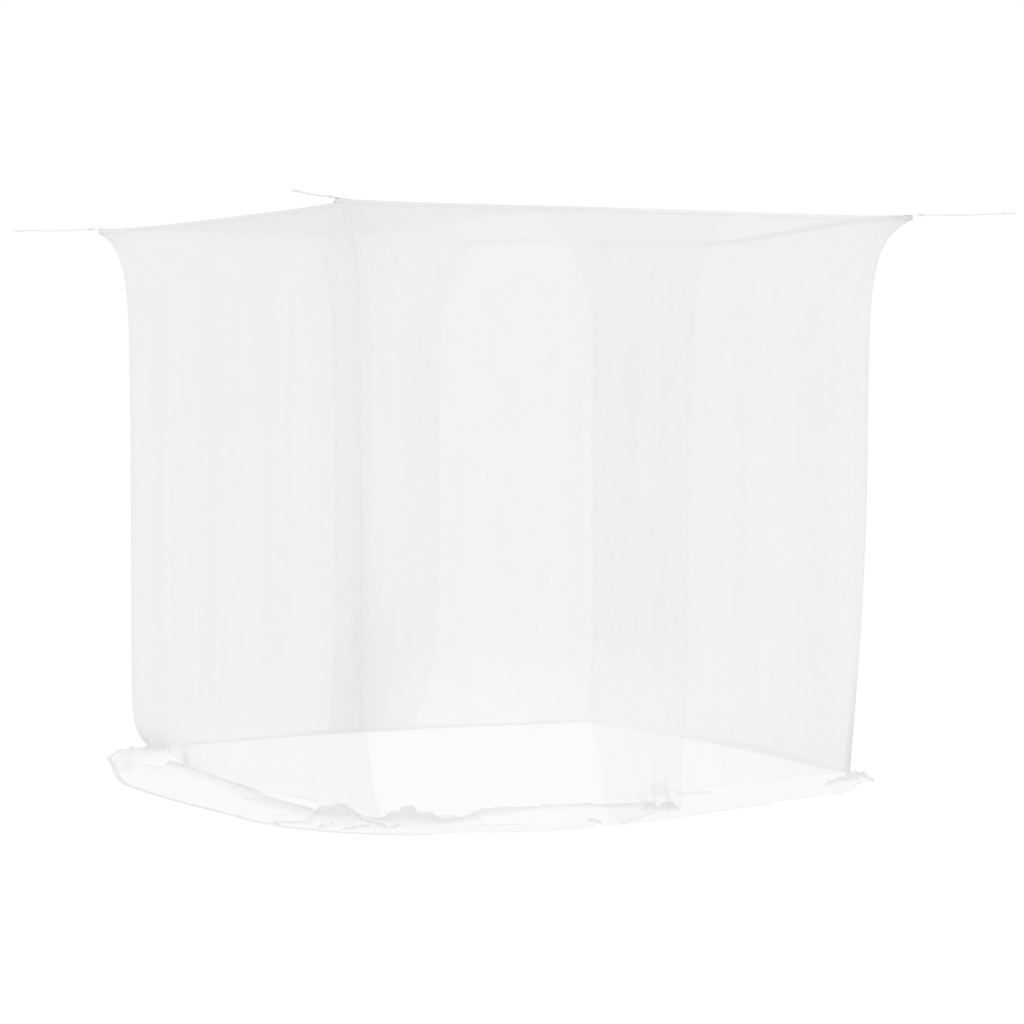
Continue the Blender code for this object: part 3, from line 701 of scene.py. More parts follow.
def corner_fans(wall, along, depth):
    """Small folds that fan out from the pulled corners."""
    below = smooth((depth - ROOF_TAPE_WIDTH) / FAN_TOP)
    total = 0.0
    for end in wall_ends(wall, depth):
        beside = np.abs(along - end)
        angle = np.arctan2(beside, depth + 1e-6)
        fade = np.exp(-np.hypot(beside, depth) / FAN_REACH) * smooth(beside / FAN_SIDE) * below
        total = total + FAN_DEPTH * fade * np.sin(FAN_FOLDS * angle + 3 * end)
    return total


def gathers(wall, along, depth):
    """Tight upright folds, where cloth is bunched at a corner seam or under a flap's edge."""
    total = 0.0
    for name, reach, start, pitch, size in wall.get("gathers", ()):
        beside = np.abs(along - wall_ends(wall, depth)[wall["ends"].index(name)])
        grown = smooth((depth - start) / (HANG_HEIGHT - start))
        total = total + size * grown * np.exp(-beside / reach) * np.sin(2 * math.pi * beside / pitch)
    if "bundle" in wall:
        middle, reach, tall, pitch, lean, size = wall["bundle"]
        grown = smooth((depth - (HANG_HEIGHT - tall)) / tall)
        beside = along - middle - lean * (HANG_HEIGHT - depth)
        fade = np.exp(-((beside / reach) ** 4))
        total = total + size * grown * fade * np.sin(2 * math.pi * beside / pitch)
    return total


def wall_out(wall, along, depth):
    """The wall's distance from the net's centre plane."""
    across = 1 - wall["along"]
    first, last = [CORNERS[name] for name in wall["ends"]]
    u = fraction_along(wall, along, depth)
    out = (1 - u) * corner_low(first, across, depth) + u * corner_low(last, across, depth)
    pull_first = first["middle"][across] * np.exp(-np.maximum(u, 0.0) * ROOF_SIDE / HORN_SPREAD)
    pull_last = last["middle"][across] * np.exp(-np.maximum(1 - u, 0.0) * ROOF_SIDE / HORN_SPREAD)
    bump = np.sin(math.pi * np.clip(u, 0, 1) ** wall["bulge_skew"]) ** 2
    out = out + horn(depth) * (pull_first + pull_last) + wall["bulge"] * bump * foot(depth)
    folds = broad_waves(wall, along, depth) + fine_folds(wall, along, depth)
    return out + folds + corner_fans(wall, along, depth) + gathers(wall, along, depth)


# %% [markdown]
# ## The cloth on the floor
#
# At the floor the wall turns outwards in a small bend and lies flat, as wide as there is cloth to spare. A
# side wall's floor cloth fans round the corners to meet the door's. Where cloth was dropped or dragged, it
# stands in crumples. A crumple is a crest line on the floor with a height and a width, and the cloth over
# it, whichever piece that is, rises by the same rule. Crests that the photograph shows are listed one by
# one, and small ones are scattered near the corners with a fixed seed.
# Where the cloth is crumpled or bunched it is made denser, and shade is painted into its colour.
# %% Crests and bunched places

# Crest lines: start x and y, end x and y, height, width
CRESTS = [
    # The fold beside the left foot
    (-0.993, 0.352, -1.026, -0.286, 0.021, 0.017),
    (-1.039, -0.333, -1.075, -0.674, 0.022, 0.018),
    (-1.080, -0.672, -1.062, -0.971, 0.028, 0.022),
    (-1.027, -0.313, -1.029, -0.365, 0.022, 0.014),
    (-1.091, -0.541, -1.084, -0.936, 0.012, 0.007),
    # Light creases on the left
    (-1.071, 0.423, -1.033, 0.283, 0.007, 0.008),
    (-1.080, 0.307, -1.067, 0.124, 0.007, 0.008),
    (-1.155, 0.141, -1.141, -0.036, 0.005, 0.008),
    # The curled tip at the back left
    (-0.948, 0.834, -1.186, 0.243, 0.016, 0.024),
    (-0.995, 0.820, -1.120, 0.480, 0.012, 0.014),
    (-0.999, 0.893, -0.919, 0.952, 0.020, 0.014),
    # The back feet
    (-0.924, 0.723, -0.884, 0.638, 0.042, 0.020),
    (-0.825, 0.641, -0.739, 0.694, 0.028, 0.016),
    (-0.656, 0.885, -0.563, 0.837, 0.010, 0.012),
    (-0.647, 0.614, -0.463, 0.752, 0.013, 0.012),
    (-0.463, 0.718, -0.235, 0.772, 0.006, 0.010),
    (-0.210, 0.828, 0.037, 0.772, 0.006, 0.010),
    (0.023, 0.709, 0.042, 0.699, 0.018, 0.010),
    (0.318, 0.918, 0.334, 0.910, 0.012, 0.008),
    # The heap at the near corner
    (-1.061, -1.041, -1.018, -1.155, 0.045, 0.034),
    (-1.084, -1.121, -1.048, -1.208, 0.012, 0.010),
    (-0.925, -1.225, -0.847, -1.311, 0.044, 0.034),
    (-1.039, -1.098, -1.000, -1.073, 0.051, 0.022),
    (-0.889, -1.221, -0.855, -1.216, 0.052, 0.020),
    (-1.034, -1.192, -0.821, -1.324, 0.010, 0.010),
    (-1.120, -1.090, -0.981, -0.999, 0.017, 0.009),
    (-1.130, -1.190, -1.025, -1.137, 0.015, 0.008),
    (-1.080, -1.250, -0.995, -1.245, 0.013, 0.008),
    (-1.009, -1.136, -0.979, -1.289, 0.020, 0.010),
    (-0.963, -1.232, -0.874, -1.308, 0.020, 0.010),
    (-0.959, -1.299, -0.867, -1.281, 0.014, 0.008),
    (-1.088, -1.074, -0.960, -0.976, 0.012, 0.010),
    (-0.999, -1.210, -0.920, -1.160, 0.016, 0.012),
    (-0.832, -1.319, -0.690, -1.301, 0.018, 0.012),
    # The crease along the front foot
    (-0.821, -1.324, -0.662, -1.270, 0.020, 0.013),
    (-0.662, -1.270, -0.433, -1.223, 0.018, 0.012),
    (-0.433, -1.223, -0.286, -1.227, 0.016, 0.011),
    (-0.291, -1.224, -0.110, -1.244, 0.016, 0.014),
    (-0.746, -1.363, -0.602, -1.392, 0.006, 0.008),
    (-0.396, -1.429, -0.409, -1.536, 0.014, 0.009),
    # The bundle below the outer flap's edge
    (-0.137, -1.303, -0.100, -1.274, 0.022, 0.014),
    (-0.119, -1.360, -0.061, -1.318, 0.030, 0.016),
    # The front right foot
    (0.629, -1.083, 0.754, -0.982, 0.018, 0.013),
    (0.702, -1.038, 0.807, -0.981, 0.014, 0.010),
    (0.779, -0.967, 0.872, -0.929, 0.020, 0.012),
    (-0.032, -1.429, 0.227, -1.343, 0.004, 0.008),
    (0.289, -1.300, 0.549, -1.228, 0.005, 0.008),
    (0.774, -0.764, 0.840, -0.798, 0.010, 0.010),
]
# Scattered crests: centre x and y, spread, how many, greatest height
SCATTER = [
    (-0.93, -1.12, 0.17, 22, 0.015),
    (-0.95, 0.80, 0.13, 12, 0.009),
    (0.88, -0.88, 0.06, 6, 0.007),
    (0.05, -1.08, 0.10, 7, 0.012),
    (0.86, 0.92, 0.10, 8, 0.008),
    (-0.55, 0.95, 0.25, 8, 0.006),
]

# Bunched places, which are denser and have painted shade: centre x and y, reach, height, and how much denser
# and shaded
BUNCHED_SHADE_SPOTS = [
    (0.033, -1.085, 0.026, 0.08, 0.85),
    (-0.045, -1.105, 0.018, 0.06, 0.6),
    (-0.860, 0.870, 0.09, 0.12, 0.8),
    (-0.92, 0.69, 0.045, 0.10, 0.7),
    (-0.93, 0.35, 0.060, 0.12, 0.7),
    (-0.97, 0.70, 0.070, 0.04, 0.45),
    (-0.02, 0.93, 0.115, 0.75, 0.62),
]
# Bunched seams, which are denser and have painted shade: reach, lowest and highest point above the floor,
# and how much denser and shaded
BUNCHED_SHADE_SEAMS = {"front_left": (0.045, 0.25, 2.6, 0.40), "front_right": (0.020, -0.2, 0.48, 0.9)}

crest_random = np.random.default_rng(5)
for cx, cy, spread, count, height in SCATTER:
    for _ in range(count):
        x, y = np.array((cx, cy)) + crest_random.normal(0, spread * 0.6, 2)
        angle, length = crest_random.uniform(0, math.pi), crest_random.uniform(0.03, 0.14)
        dx, dy = length * math.cos(angle), length * math.sin(angle)
        tall = height * crest_random.uniform(0.35, 1.0)
        CRESTS.append((x, y, x + dx, y + dy, tall, crest_random.uniform(0.006, 0.013)))

print(len(CRESTS), "crests")

# %% Rules of the crumples
RUMPLE_FADE = 0.14
# The crumple height at which the painted shade and the denser cover are full, and the height over which they
# fade
CRUMPLE_SHADE_HEIGHT = 0.030
CRUMPLE_SHADE_FADE = 0.10
SEAM_FADE = 0.2
WRINKLE_HEIGHT = 0.0010
SLOW_HEIGHT = 0.0012
WRINKLED_FROM = 0.012
# Small folds: direction, distance from one to the next, and where they start
WRINKLES = [(0.3, 0.047, 0.0), (1.1, 0.036, 1.3), (2.0, 0.058, 0.6), (2.7, 0.041, 2.2)]


def wrinkles(x, y):
    """Small sharp folds on the crumpled cloth."""
    bend_x = x + 0.012 * np.sin(31 * y + 2)
    bend_y = y + 0.012 * np.sin(27 * x)
    total = 0.0
    for turn, pitch, phase in WRINKLES:
        across = bend_x * math.cos(turn) + bend_y * math.sin(turn)
        total = total + 1 - np.abs(np.sin(math.pi * across / pitch + phase)) ** 0.7
    return WRINKLE_HEIGHT * total


def crumples(x, y):
    """How far the cloth stands up from the floor at a place."""
    total = np.zeros(np.shape(x))
    for x0, y0, x1, y1, height, width in CRESTS:
        dx, dy = x1 - x0, y1 - y0
        t = np.clip(((x - x0) * dx + (y - y0) * dy) / (dx * dx + dy * dy), 0, 1)
        far = np.hypot(x - x0 - t * dx, y - y0 - t * dy)
        total += (height * np.exp(-((far / width) ** 1.5))) ** 3
    tall = np.cbrt(total)
    slow = SLOW_HEIGHT * (1 + np.sin(9 * x + 4 * y) * np.sin(7 * y - 3 * x + 1))
    return tall + slow + wrinkles(x, y) * smooth(tall / WRINKLED_FROM)


def rumpled(points):
    """Raises points near the floor over the crumples."""
    above = np.maximum(points[..., 2] + HANG_HEIGHT, 0.0)
    points[..., 2] += crumples(points[..., 0], points[..., 1]) * (1 - smooth(above / RUMPLE_FADE))
    return points


def bunched_density_and_shade(x, y, above, place_x, place_y, reach, tall, amount):
    """How much denser a bunched place is and how much shade is painted on it, which fades aside and upwards.
    """
    near = np.exp(-((np.hypot(x - place_x, y - place_y) / reach) ** 2))
    return amount * near * (1 - smooth(above / tall))


def fold_density_and_shade(points):
    """How densely the cloth is folded and how much shade is painted on it, from 0 to 1: most in the crumples
    and the bunched places.
    """
    x, y, z = points[..., 0], points[..., 1], points[..., 2]
    above = np.maximum(z + HANG_HEIGHT, 0.0)
    total = smooth(crumples(x, y) / CRUMPLE_SHADE_HEIGHT) * (1 - smooth(above / CRUMPLE_SHADE_FADE))
    for spot in BUNCHED_SHADE_SPOTS:
        total = np.maximum(total, bunched_density_and_shade(x, y, above, *spot))
    for name, (reach, start, tall, amount) in BUNCHED_SHADE_SEAMS.items():
        corner = CORNERS[name]
        seam = [corner["side"][axis] * corner_place(corner, axis, -z) for axis in (0, 1)]
        begun = smooth((above - start) / SEAM_FADE)
        total = np.maximum(total, bunched_density_and_shade(x, y, above, *seam, reach, tall, amount) * begun)
    return total


# %% Rules of the floor cloth
BEND = 0.010
RUCK_END = 0.40
RUCK_REACH = 0.45


def bent(distance):
    """The bend from wall to floor: how far out and up, at a distance that is negative up the wall."""
    root = np.sqrt(distance**2 + 4 * BEND**2)
    return (root + distance) / 2, (root - distance) / 2


def between(first, last, share):
    return first + (last - first) * share


def along_values(values, u):
    """A smooth curve through values at even steps of u from 0 to 1."""
    spot = np.clip(u, 0, 1) * (len(values) - 1)
    low = np.minimum(spot.astype(int), len(values) - 2)
    values = np.array(values)
    return between(values[low], values[low + 1], smooth(spot - low))


def door_skirt(corner_name):
    """The width of the door's floor cloth at this corner."""
    for wall in (WALLS["front"], WALLS["back"]):
        if corner_name in wall["ends"]:
            return wall["skirt"][0 if wall["ends"][0] == corner_name else -1]


def skirt_reach(wall, along):
    """The floor cloth's width here, and its direction out from the wall and along it."""
    start, end = wall_ends(wall, HANG_HEIGHT)
    u = (along - start) / (end - start)
    width = along_values(wall["skirt"], u)
    sideways = wall["drift"] * np.sin(math.pi * np.clip(u, 0, 1) ** wall["skirt_skew"])
    if wall["along"] == 1:
        for corner_along, corner_name in zip((start, end), wall["ends"]):
            near = np.clip(1 - np.abs(along - corner_along) / FAN_LENGTH, 0, 1)
            width = width + near * (door_skirt(corner_name) - width)
            side = CORNERS[corner_name]["side"][1]
            turned_out, turned_along = np.cos(near * math.pi / 2), side * np.sin(near * math.pi / 2)
            sideways = np.where(near > 0, width * turned_along, sideways)
            out = np.where(near > 0, width * turned_out, width if corner_along == start else out)
    else:
        out = width
    length = np.hypot(out, sideways)
    return length, out / length, sideways / length


def wall_points(wall, along, depth, stand_off=0.0):
    """Points of a wall, with the start of its bend to the floor."""
    u = fraction_along(wall, along, depth)
    sag = wall["sag"] * hump(u) * (1 - depth / HANG_HEIGHT)
    offset, up = bent(depth - HANG_HEIGHT)
    _, out_share, along_share = skirt_reach(wall, along)
    out = wall_out(wall, along, depth) + stand_off + offset * out_share
    return rumpled(place(wall, along + offset * along_share, out, up - HANG_HEIGHT - sag))


def skirt_points(wall, along, reach, stand_off=0.0, lift=0.0, extra=0.0, share=1.0):
    """Points of the floor cloth, a share of its width from the foot, and some metres more."""
    start, end = wall_ends(wall, HANG_HEIGHT)
    u = (along - start) / (end - start)
    length, out_share, along_share = skirt_reach(wall, along)
    offset, up = bent(reach * length * share + extra)
    out = wall_out(wall, along, HANG_HEIGHT) + stand_off + offset * out_share
    ruck = np.sin(math.pi * np.clip(u / RUCK_END, 0, 1)) ** 2
    ruck = ruck * np.sin(math.pi * np.minimum(reach / RUCK_REACH, 1))
    height = -HANG_HEIGHT + CLOTH + lift + up + wall["ruck"] * ruck
    return rumpled(place(wall, along + offset * along_share, out, height))


print("foot of the near corner", wall_points(WALLS["front"], -0.9, HANG_HEIGHT).round(3))

# %% [markdown]
# ## Door flaps
#
# Each flap hangs from its half of the roof seam and from one corner seam, and its free edge overlaps the
# other flap's. The outer one stands a few millimetres off the inner one, except at the seam that sews them
# both to the roof.
# %% Rules of the flaps
SEWN_DEPTH, SEWN_FADE = 0.008, 0.02


def edge_along(flap, depth):
    roof, middle, low = flap["edge"]
    return middle + (roof - middle) * np.exp(-depth / EDGE_DRAW) + (low - middle) * foot(depth)


def flap_start(flap, depth):
    return wall_ends(WALLS[flap["wall"]], depth)[flap["end"]]


def flap_stand_off(flap, along, depth):
    if not flap["outer"]:
        return 0.0
    from_seam = smooth(np.abs(along - flap_start(flap, depth)) / HANGING_LENGTH)
    from_roof = smooth((depth - SEWN_DEPTH) / SEWN_FADE)
    gap = LAYER + (HANGING_GAP - SEWN_GAP) * smooth(depth / HANGING_DEPTH)
    return from_seam * from_roof * gap


def flap_points(flap, along, depth):
    return wall_points(WALLS[flap["wall"]], along, depth, flap_stand_off(flap, along, depth))


def flap_skirt_points(flap, along, reach, extra=0.0):
    stand_off = flap_stand_off(flap, along, HANG_HEIGHT)
    lift = LAYER if flap["outer"] else 0.0
    from_edge = np.abs(along - edge_along(flap, HANG_HEIGHT))
    share = 1 - flap["narrowing"] * (1 - smooth(from_edge / NARROWING_LENGTH))
    return skirt_points(WALLS[flap["wall"]], along, reach, stand_off, lift, extra, share)


def wall_outward(wall):
    return place(wall, 0.0, 1.0, 0.0)


print("outer flaps", [name for name, flap in FLAPS.items() if flap["outer"]])

# %% [markdown]
# ## Making meshes from grids
#
# A sheet of cloth is a grid of points and a strip of tape is a row of rings. Both could be made with bmesh,
# one face at a time, but numpy can list all the faces at once. Each mesh gets a UV map measured in metres
# along the cloth, so that the knit and the weave keep their size and follow every fold.
# %% Helpers for sheets
MARGIN = 0.003
SKIRT_ROWS = 60
UPWARDS = np.array((0.0, 0.0, 1.0))


def new_object(name, mesh, material=None):
    if material:
        mesh.materials.append(material)
    mesh.shade_smooth()
    obj = bpy.data.objects.new(name, mesh)
    bpy.context.scene.collection.objects.link(obj)
    return obj


def mapped_mesh(name, points, faces, uv):
    """A mesh with a UV map, which gives a place for each corner of each face."""
    mesh = bpy.data.meshes.new(name)
    mesh.from_pydata(points.reshape(-1, 3).tolist(), [], faces)
    layer = mesh.uv_layers.new(name="UVMap")
    layer.data.foreach_set("uv", uv.astype(np.float32).ravel())
    return mesh


def steps_along(points, axis):
    """Distances along a grid's rows or columns, from its first point."""
    lengths = np.linalg.norm(np.diff(points, axis=axis), axis=-1)
    start = np.zeros_like(np.take(lengths, [0], axis=axis))
    return np.cumsum(np.concatenate([start, lengths], axis=axis), axis=axis)


def length_of(line):
    return round(float(steps_along(line, 0)[-1]), 3)


def quads(rows, columns, flip):
    index = np.arange(rows * columns).reshape(rows, columns)
    corners = [index[:-1, :-1], index[:-1, 1:], index[1:, 1:], index[1:, :-1]]
    if flip:
        corners.reverse()
    return np.stack(corners, axis=-1).reshape(-1, 4)


def sheet_object(name, points, outward, material, floor_shade_and_density=0.0):
    """One layer of cloth through a grid of points, which faces outward. Its floor part may be denser, with
    painted shade.
    """
    rows, columns = points.shape[:2]
    centre = points[rows // 2, columns // 2]
    down = points[rows // 2 + 1, columns // 2] - centre
    across = points[rows // 2, columns // 2 + 1] - centre
    faces = quads(rows, columns, np.dot(np.cross(across, down), outward) < 0)
    across_cloth = steps_along(points, 1)
    across_cloth = across_cloth - across_cloth[:, [columns // 2]]
    uv = np.stack([across_cloth, steps_along(points, 0)], axis=-1).reshape(-1, 2)
    mesh = mapped_mesh(name, points, faces.tolist(), uv[faces.reshape(-1)])
    share = fold_density_and_shade(points)
    # The floor rows get at least the wall's floor share of painted shade and denser cover
    share[-SKIRT_ROWS:] = np.maximum(share[-SKIRT_ROWS:], floor_shade_and_density)
    folded = mesh.attributes.new("Folded", "FLOAT", "POINT")
    folded.data.foreach_set("value", share.reshape(-1).astype(np.float32))
    return new_object(name, mesh, material)


# %% Helpers for strips
STRIP_FLAT = 0.47
STRIP_CROWN = 0.0001
SHARP_ANGLE = 50


def strip_object(name, centre, across, up, section, material):
    """A closed strip: the section's points (across, up) swept along the centre line."""
    section = np.array(section, float)
    rings = centre[:, None] + across[:, None] * section[:, 0, None] + up[:, None] * section[:, 1, None]
    count, sides = rings.shape[:2]
    wrapped = np.concatenate([rings, rings[:, :1]], axis=1)
    faces = quads(count, sides + 1, False)
    uv = np.stack([steps_along(wrapped, 0), steps_along(wrapped, 1)], axis=-1)
    uv = uv.reshape(-1, 2)[faces.reshape(-1)]
    row, column = np.divmod(faces, sides + 1)
    faces = (row * sides + column % sides).tolist()
    faces += [list(range(sides)), list(range(count * sides - 1, (count - 1) * sides - 1, -1))]
    mesh = mapped_mesh(name, rings, faces, np.concatenate([uv, section, section[::-1]]))
    bm = bmesh.new()
    bm.from_mesh(mesh)
    bmesh.ops.recalc_face_normals(bm, faces=bm.faces)
    bm.to_mesh(mesh)
    bm.free()
    obj = new_object(name, mesh, material)
    mesh.set_sharp_from_angle(angle=math.radians(SHARP_ANGLE))
    return obj


def unit(vectors):
    return vectors / np.linalg.norm(vectors, axis=-1, keepdims=True)


def tangents(line):
    return unit(np.gradient(line, axis=0))


def strip_between(name, inner, outer, outward, material, top=0.0002, thickness=0.001):
    """A flat woven strip between two lines, with rounded edges, and its centre, across and up."""
    centre, across = (inner + outer) / 2, outer - inner
    up = unit(np.cross(tangents(centre), across))
    up = up * np.where(up @ outward < 0, -1.0, 1.0)[:, None]
    low = top - thickness
    middle = (top + low) / 2
    section = [
        (-0.5, middle), (-STRIP_FLAT, top), (0.0, top + STRIP_CROWN), (STRIP_FLAT, top),
        (0.5, middle), (STRIP_FLAT, low), (0.0, low), (-STRIP_FLAT, low),
    ]
    return strip_object(name, centre, across, up, section, material), centre, across, up


# %% Helpers for dressing
stitch_lines = {"net": []}


def add_stitches(group, centre, across, up, share, lift):
    """Keeps a line for stitches, a share of the width from a strip's middle and a little above it."""
    stitch_lines.setdefault(group, []).append(centre + across * share + up * lift)


def dress(piece, *nodes):
    """Puts a piece in place of its solids, by hiding them."""
    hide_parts(*nodes)


print("margin of cloth inside a tape", MARGIN)

# %% [markdown]
# ## Strings, knots and loops
#
# Each corner is tied with a thin cotton cord of three strands. A plain tube would do at a distance, but
# close up the twist is what makes it a string. A Geometry Nodes tree copies the path three times and winds
# each copy round it, so the twist, the thickness and the number of strands stay adjustable. The string is
# 0.255 m between its knots and hangs 3 mm deep. A closed path gives the loops, and a knot is a trefoil, the
# shape that an overhand knot has when its ends are joined.
# %% Tree: twisted cord
GEOMETRY, INTEGER, MATERIAL = "NodeSocketGeometry", "NodeSocketInt", "NodeSocketMaterial"
STRING_DIAMETER = 0.005
STRAND_OFFSET = 0.25
STRAND_RADIUS = 0.26
STRANDS = 3
CORD_SIDES = 8


def finished(geometry, material):
    """The last two nodes of a tree, which make instances real and set the material."""
    real = add(geometry.tree, "GeometryNodeRealizeInstances", geometry)
    return add(geometry.tree, "GeometryNodeSetMaterial", Geometry=real, Material=material)


twist_tree, given = new_group(
    "Twisted cord",
    "GeometryNodeTree",
    {
        "Path": (GEOMETRY, None), "Diameter": (FLOAT, STRING_DIAMETER), "Strands": (INTEGER, STRANDS),
        "Turns": (FLOAT, 10.0), "Sides": (INTEGER, CORD_SIDES), "Material": (MATERIAL, None),
    },
    {"Cord": GEOMETRY},
)
put = partial(add, twist_tree)
path = put("GeometryNodeMeshToCurve", Mesh=given["Path"])
by_strand = {"domain": "SPLINE"}
copies = put("GeometryNodeDuplicateElements", settings=by_strand, Geometry=path, Amount=given["Strands"])
strand_share = copies.beside("Duplicate Index") / given["Strands"]
progress = put("GeometryNodeSplineParameter", out="Factor")
angle = (progress * given["Turns"] + strand_share) * (2 * math.pi)
radius = given["Diameter"] * STRAND_OFFSET
normal = put("GeometryNodeInputNormal")
side = vector_calc("CROSS_PRODUCT", put("GeometryNodeInputTangent"), normal)
part_one = scaled(normal, calc("COSINE", angle) * radius)
part_two = scaled(side, calc("SINE", angle) * radius)
wound = put("GeometryNodeSetPosition", Geometry=copies, Offset=vector_calc("ADD", part_one, part_two))
ring_size = given["Diameter"] * STRAND_RADIUS
ring = put("GeometryNodeCurvePrimitiveCircle", Resolution=given["Sides"], Radius=ring_size)
skin = put("GeometryNodeCurveToMesh", Curve=wound, Profile_Curve=ring, Fill_Caps=True)
give(twist_tree, Cord=finished(skin, given["Material"]))

# %% Run a tree on a path


def path_mesh(name, lines, closed=False):
    """A mesh of edges along one or more lines of points."""
    points, edges = [], []
    for line in lines:
        first = len(points)
        points += [tuple(point) for point in line]
        edges += [(i, i + 1) for i in range(first, len(points) - 1)]
        if closed:
            edges.append((len(points) - 1, first))
    mesh = bpy.data.meshes.new(name)
    mesh.from_pydata(points, edges, [])
    return mesh


def run_tree(name, mesh, tree, values):
    """Runs a Geometry Nodes tree on a mesh, and returns the result as a plain mesh object."""
    source = bpy.data.objects.new(name + "_source", mesh)
    bpy.context.scene.collection.objects.link(source)
    modifier = source.modifiers.new("Tree", "NODES")
    modifier.node_group = tree
    for item in tree.interface.items_tree:
        if item.item_type == "SOCKET" and item.in_out == "INPUT" and item.name in values:
            modifier[item.identifier] = values[item.name]
    graph = bpy.context.evaluated_depsgraph_get()
    made = bpy.data.meshes.new_from_object(source.evaluated_get(graph))
    made.name = name
    bpy.data.objects.remove(source, do_unlink=True)
    return new_object(name, made)


def cord_object(name, line, turns, closed=False, diameter=STRING_DIAMETER):
    values = {
        "Diameter": diameter, "Strands": STRANDS, "Turns": turns, "Sides": CORD_SIDES,
        "Material": string_yarn,
    }
    return run_tree(name, path_mesh(name, [line], closed), twist_tree, values)


# %% [markdown]
# The strings lie in the diagonals of the roof. A small ring of string goes through the tab's end and back to
# the first knot, and the last knot closes the loop that is hooked on a nail.
# %% Lines of the strings
STRING_REACH = 0.255
STRING_DIP = 0.003
STRING_POINTS = 90
KNOT_DIAMETER = 0.009
TAB_OVERHANG = 0.030
TAB_THICKNESS = 0.0015
TAB_LEVEL = 0.0018
STRING_LEVEL = TAB_LEVEL + TAB_THICKNESS / 2
FIRST_KNOT = TAB_OVERHANG + SEAM_GAP + KNOT_DIAMETER / 2
LAST_KNOT = FIRST_KNOT + STRING_REACH
# A trefoil of size 1 is 6.9 wide, with its cord
TREFOIL_WIDTH = 6.9
TREFOIL_DEPTH = 1.15
# Loops: start, length and width of the path
LOOP = (LAST_KNOT + KNOT_DIAMETER / 2 - 0.0015, 0.029, 0.014 - STRING_DIAMETER)
TAB_RING = (TAB_OVERHANG - 0.012, 0.0145, 0.0058)


def diagonal(name):
    return np.array((*CORNERS[name]["side"], 0.0)) / math.sqrt(2)


def along_string(name, distance, aside=0.0, up=0.0):
    """Points in a corner's own frame: out along its string, aside and up."""
    outwards = diagonal(name)
    sideways = np.array((-outwards[1], outwards[0], 0.0))
    corner = np.array((*CORNERS[name]["side"], 0.0)) * HALF + np.array((0, 0, STRING_LEVEL))
    distance, aside, up = np.broadcast_arrays(distance, aside, up)
    return corner + distance[:, None] * outwards + aside[:, None] * sideways + up[:, None] * UPWARDS


def full_turn(count):
    return np.linspace(0, 2 * math.pi, count, endpoint=False)


def knot_line(name, distance):
    """A trefoil with its axis along the string."""
    t = full_turn(72)
    scale = KNOT_DIAMETER / TREFOIL_WIDTH
    flat_one, flat_two = np.sin(t) + 2 * np.sin(2 * t), np.cos(t) - 2 * np.cos(2 * t)
    out = distance - np.sin(3 * t) * scale * TREFOIL_DEPTH
    return along_string(name, out, flat_one * scale, flat_two * scale)


def loop_line(name, start, length, width, upright=False):
    t = full_turn(48)
    out = start + length / 2 - length / 2 * np.cos(t)
    swing = width / 2 * np.sin(t)
    return along_string(name, out, 0.0, swing) if upright else along_string(name, out, swing)


# %% Make the strings
STRING_TURNS, LOOP_TURNS, RING_TURNS = 34, 9, 5
KNOT_CORD, RING_CORD = 0.0026, 0.0034

for name in CORNERS:
    t = np.linspace(0, 1, STRING_POINTS)
    dip = -STRING_DIP * np.sin(math.pi * t) ** 2
    line = along_string(name, between(TAB_OVERHANG, LAST_KNOT, t), 0.0, dip)
    string = cord_object(name + "_tie_string_cord", line, STRING_TURNS)
    knots = [
        cord_object(f"{name}_{label}_knot_cord", knot_line(name, spot), LOOP_TURNS, True, KNOT_CORD)
        for label, spot in (("tab", FIRST_KNOT), ("end", LAST_KNOT))
    ]
    loop = cord_object(name + "_string_loop_cord", loop_line(name, *LOOP), LOOP_TURNS, True)
    ring_line = loop_line(name, *TAB_RING, upright=True)
    ring_cord = cord_object(name + "_tab_ring_cord", ring_line, RING_TURNS, True, RING_CORD)
    dress(string, name + "_tie_string")
    dress(knots[0], name + "_tab_knot")
    dress(knots[1], name + "_end_knot")
    dress(loop, name + "_string_loop")
    name + "_tie_string"
    for piece in (string, *knots, loop, ring_cord):
        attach(piece, "net")
    print(name, "string from", line[0].round(3), "to", line[-1].round(3))

# %% [markdown]
# ## The roof
#
# The roof is one square of net. Its four seams are drawn in between the corners, so it is a star with four
# short points, and its middle sags. That is a rule of two numbers, how far across and how far back a point
# is, so it can be a Geometry Nodes tree: a grid whose points are moved by formulas, with the sizes as inputs
# that may be changed later. Small folds run in from the corners, and noise with a fixed offset adds slack.
# %% Tree: one rim of the roof
PULL_RATE = ROOF_SIDE / HORN_SPREAD

rim_tree, given = new_group(
    "Rim of the roof",
    "GeometryNodeTree",
    {
        "Share": (FLOAT, 0.0), "First Pull": (FLOAT, 0.1), "Last Pull": (FLOAT, 0.1),
        "Half Side": (FLOAT, HALF),
    },
    {"Out": FLOAT, "Hump": FLOAT},
)
share, rest = given["Share"], 1.0 - given["Share"]
lost_first = given["First Pull"] * (calc("EXPONENT", share * -PULL_RATE) - rest)
lost_last = given["Last Pull"] * (calc("EXPONENT", rest * -PULL_RATE) - share)
inner = add(rim_tree, "ShaderNodeMapRange", share, PATCH_SHARE, 1 - PATCH_SHARE, 0.0, math.pi)
sine = calc("SINE", inner)
give(rim_tree, Out=given["Half Side"] + (lost_first + lost_last) - RIM_INSET, Hump=sine * sine)

# %% Tree: the roof panel
CORNER_FOLDS = 22.0
FOLDS_FADE = 3.2
SLACK_SCALE = 4.0
FREE_FROM_SEAM = 0.06
LEFT_SHADE_FROM, LEFT_SHADE_TO = 0.30, 0.60

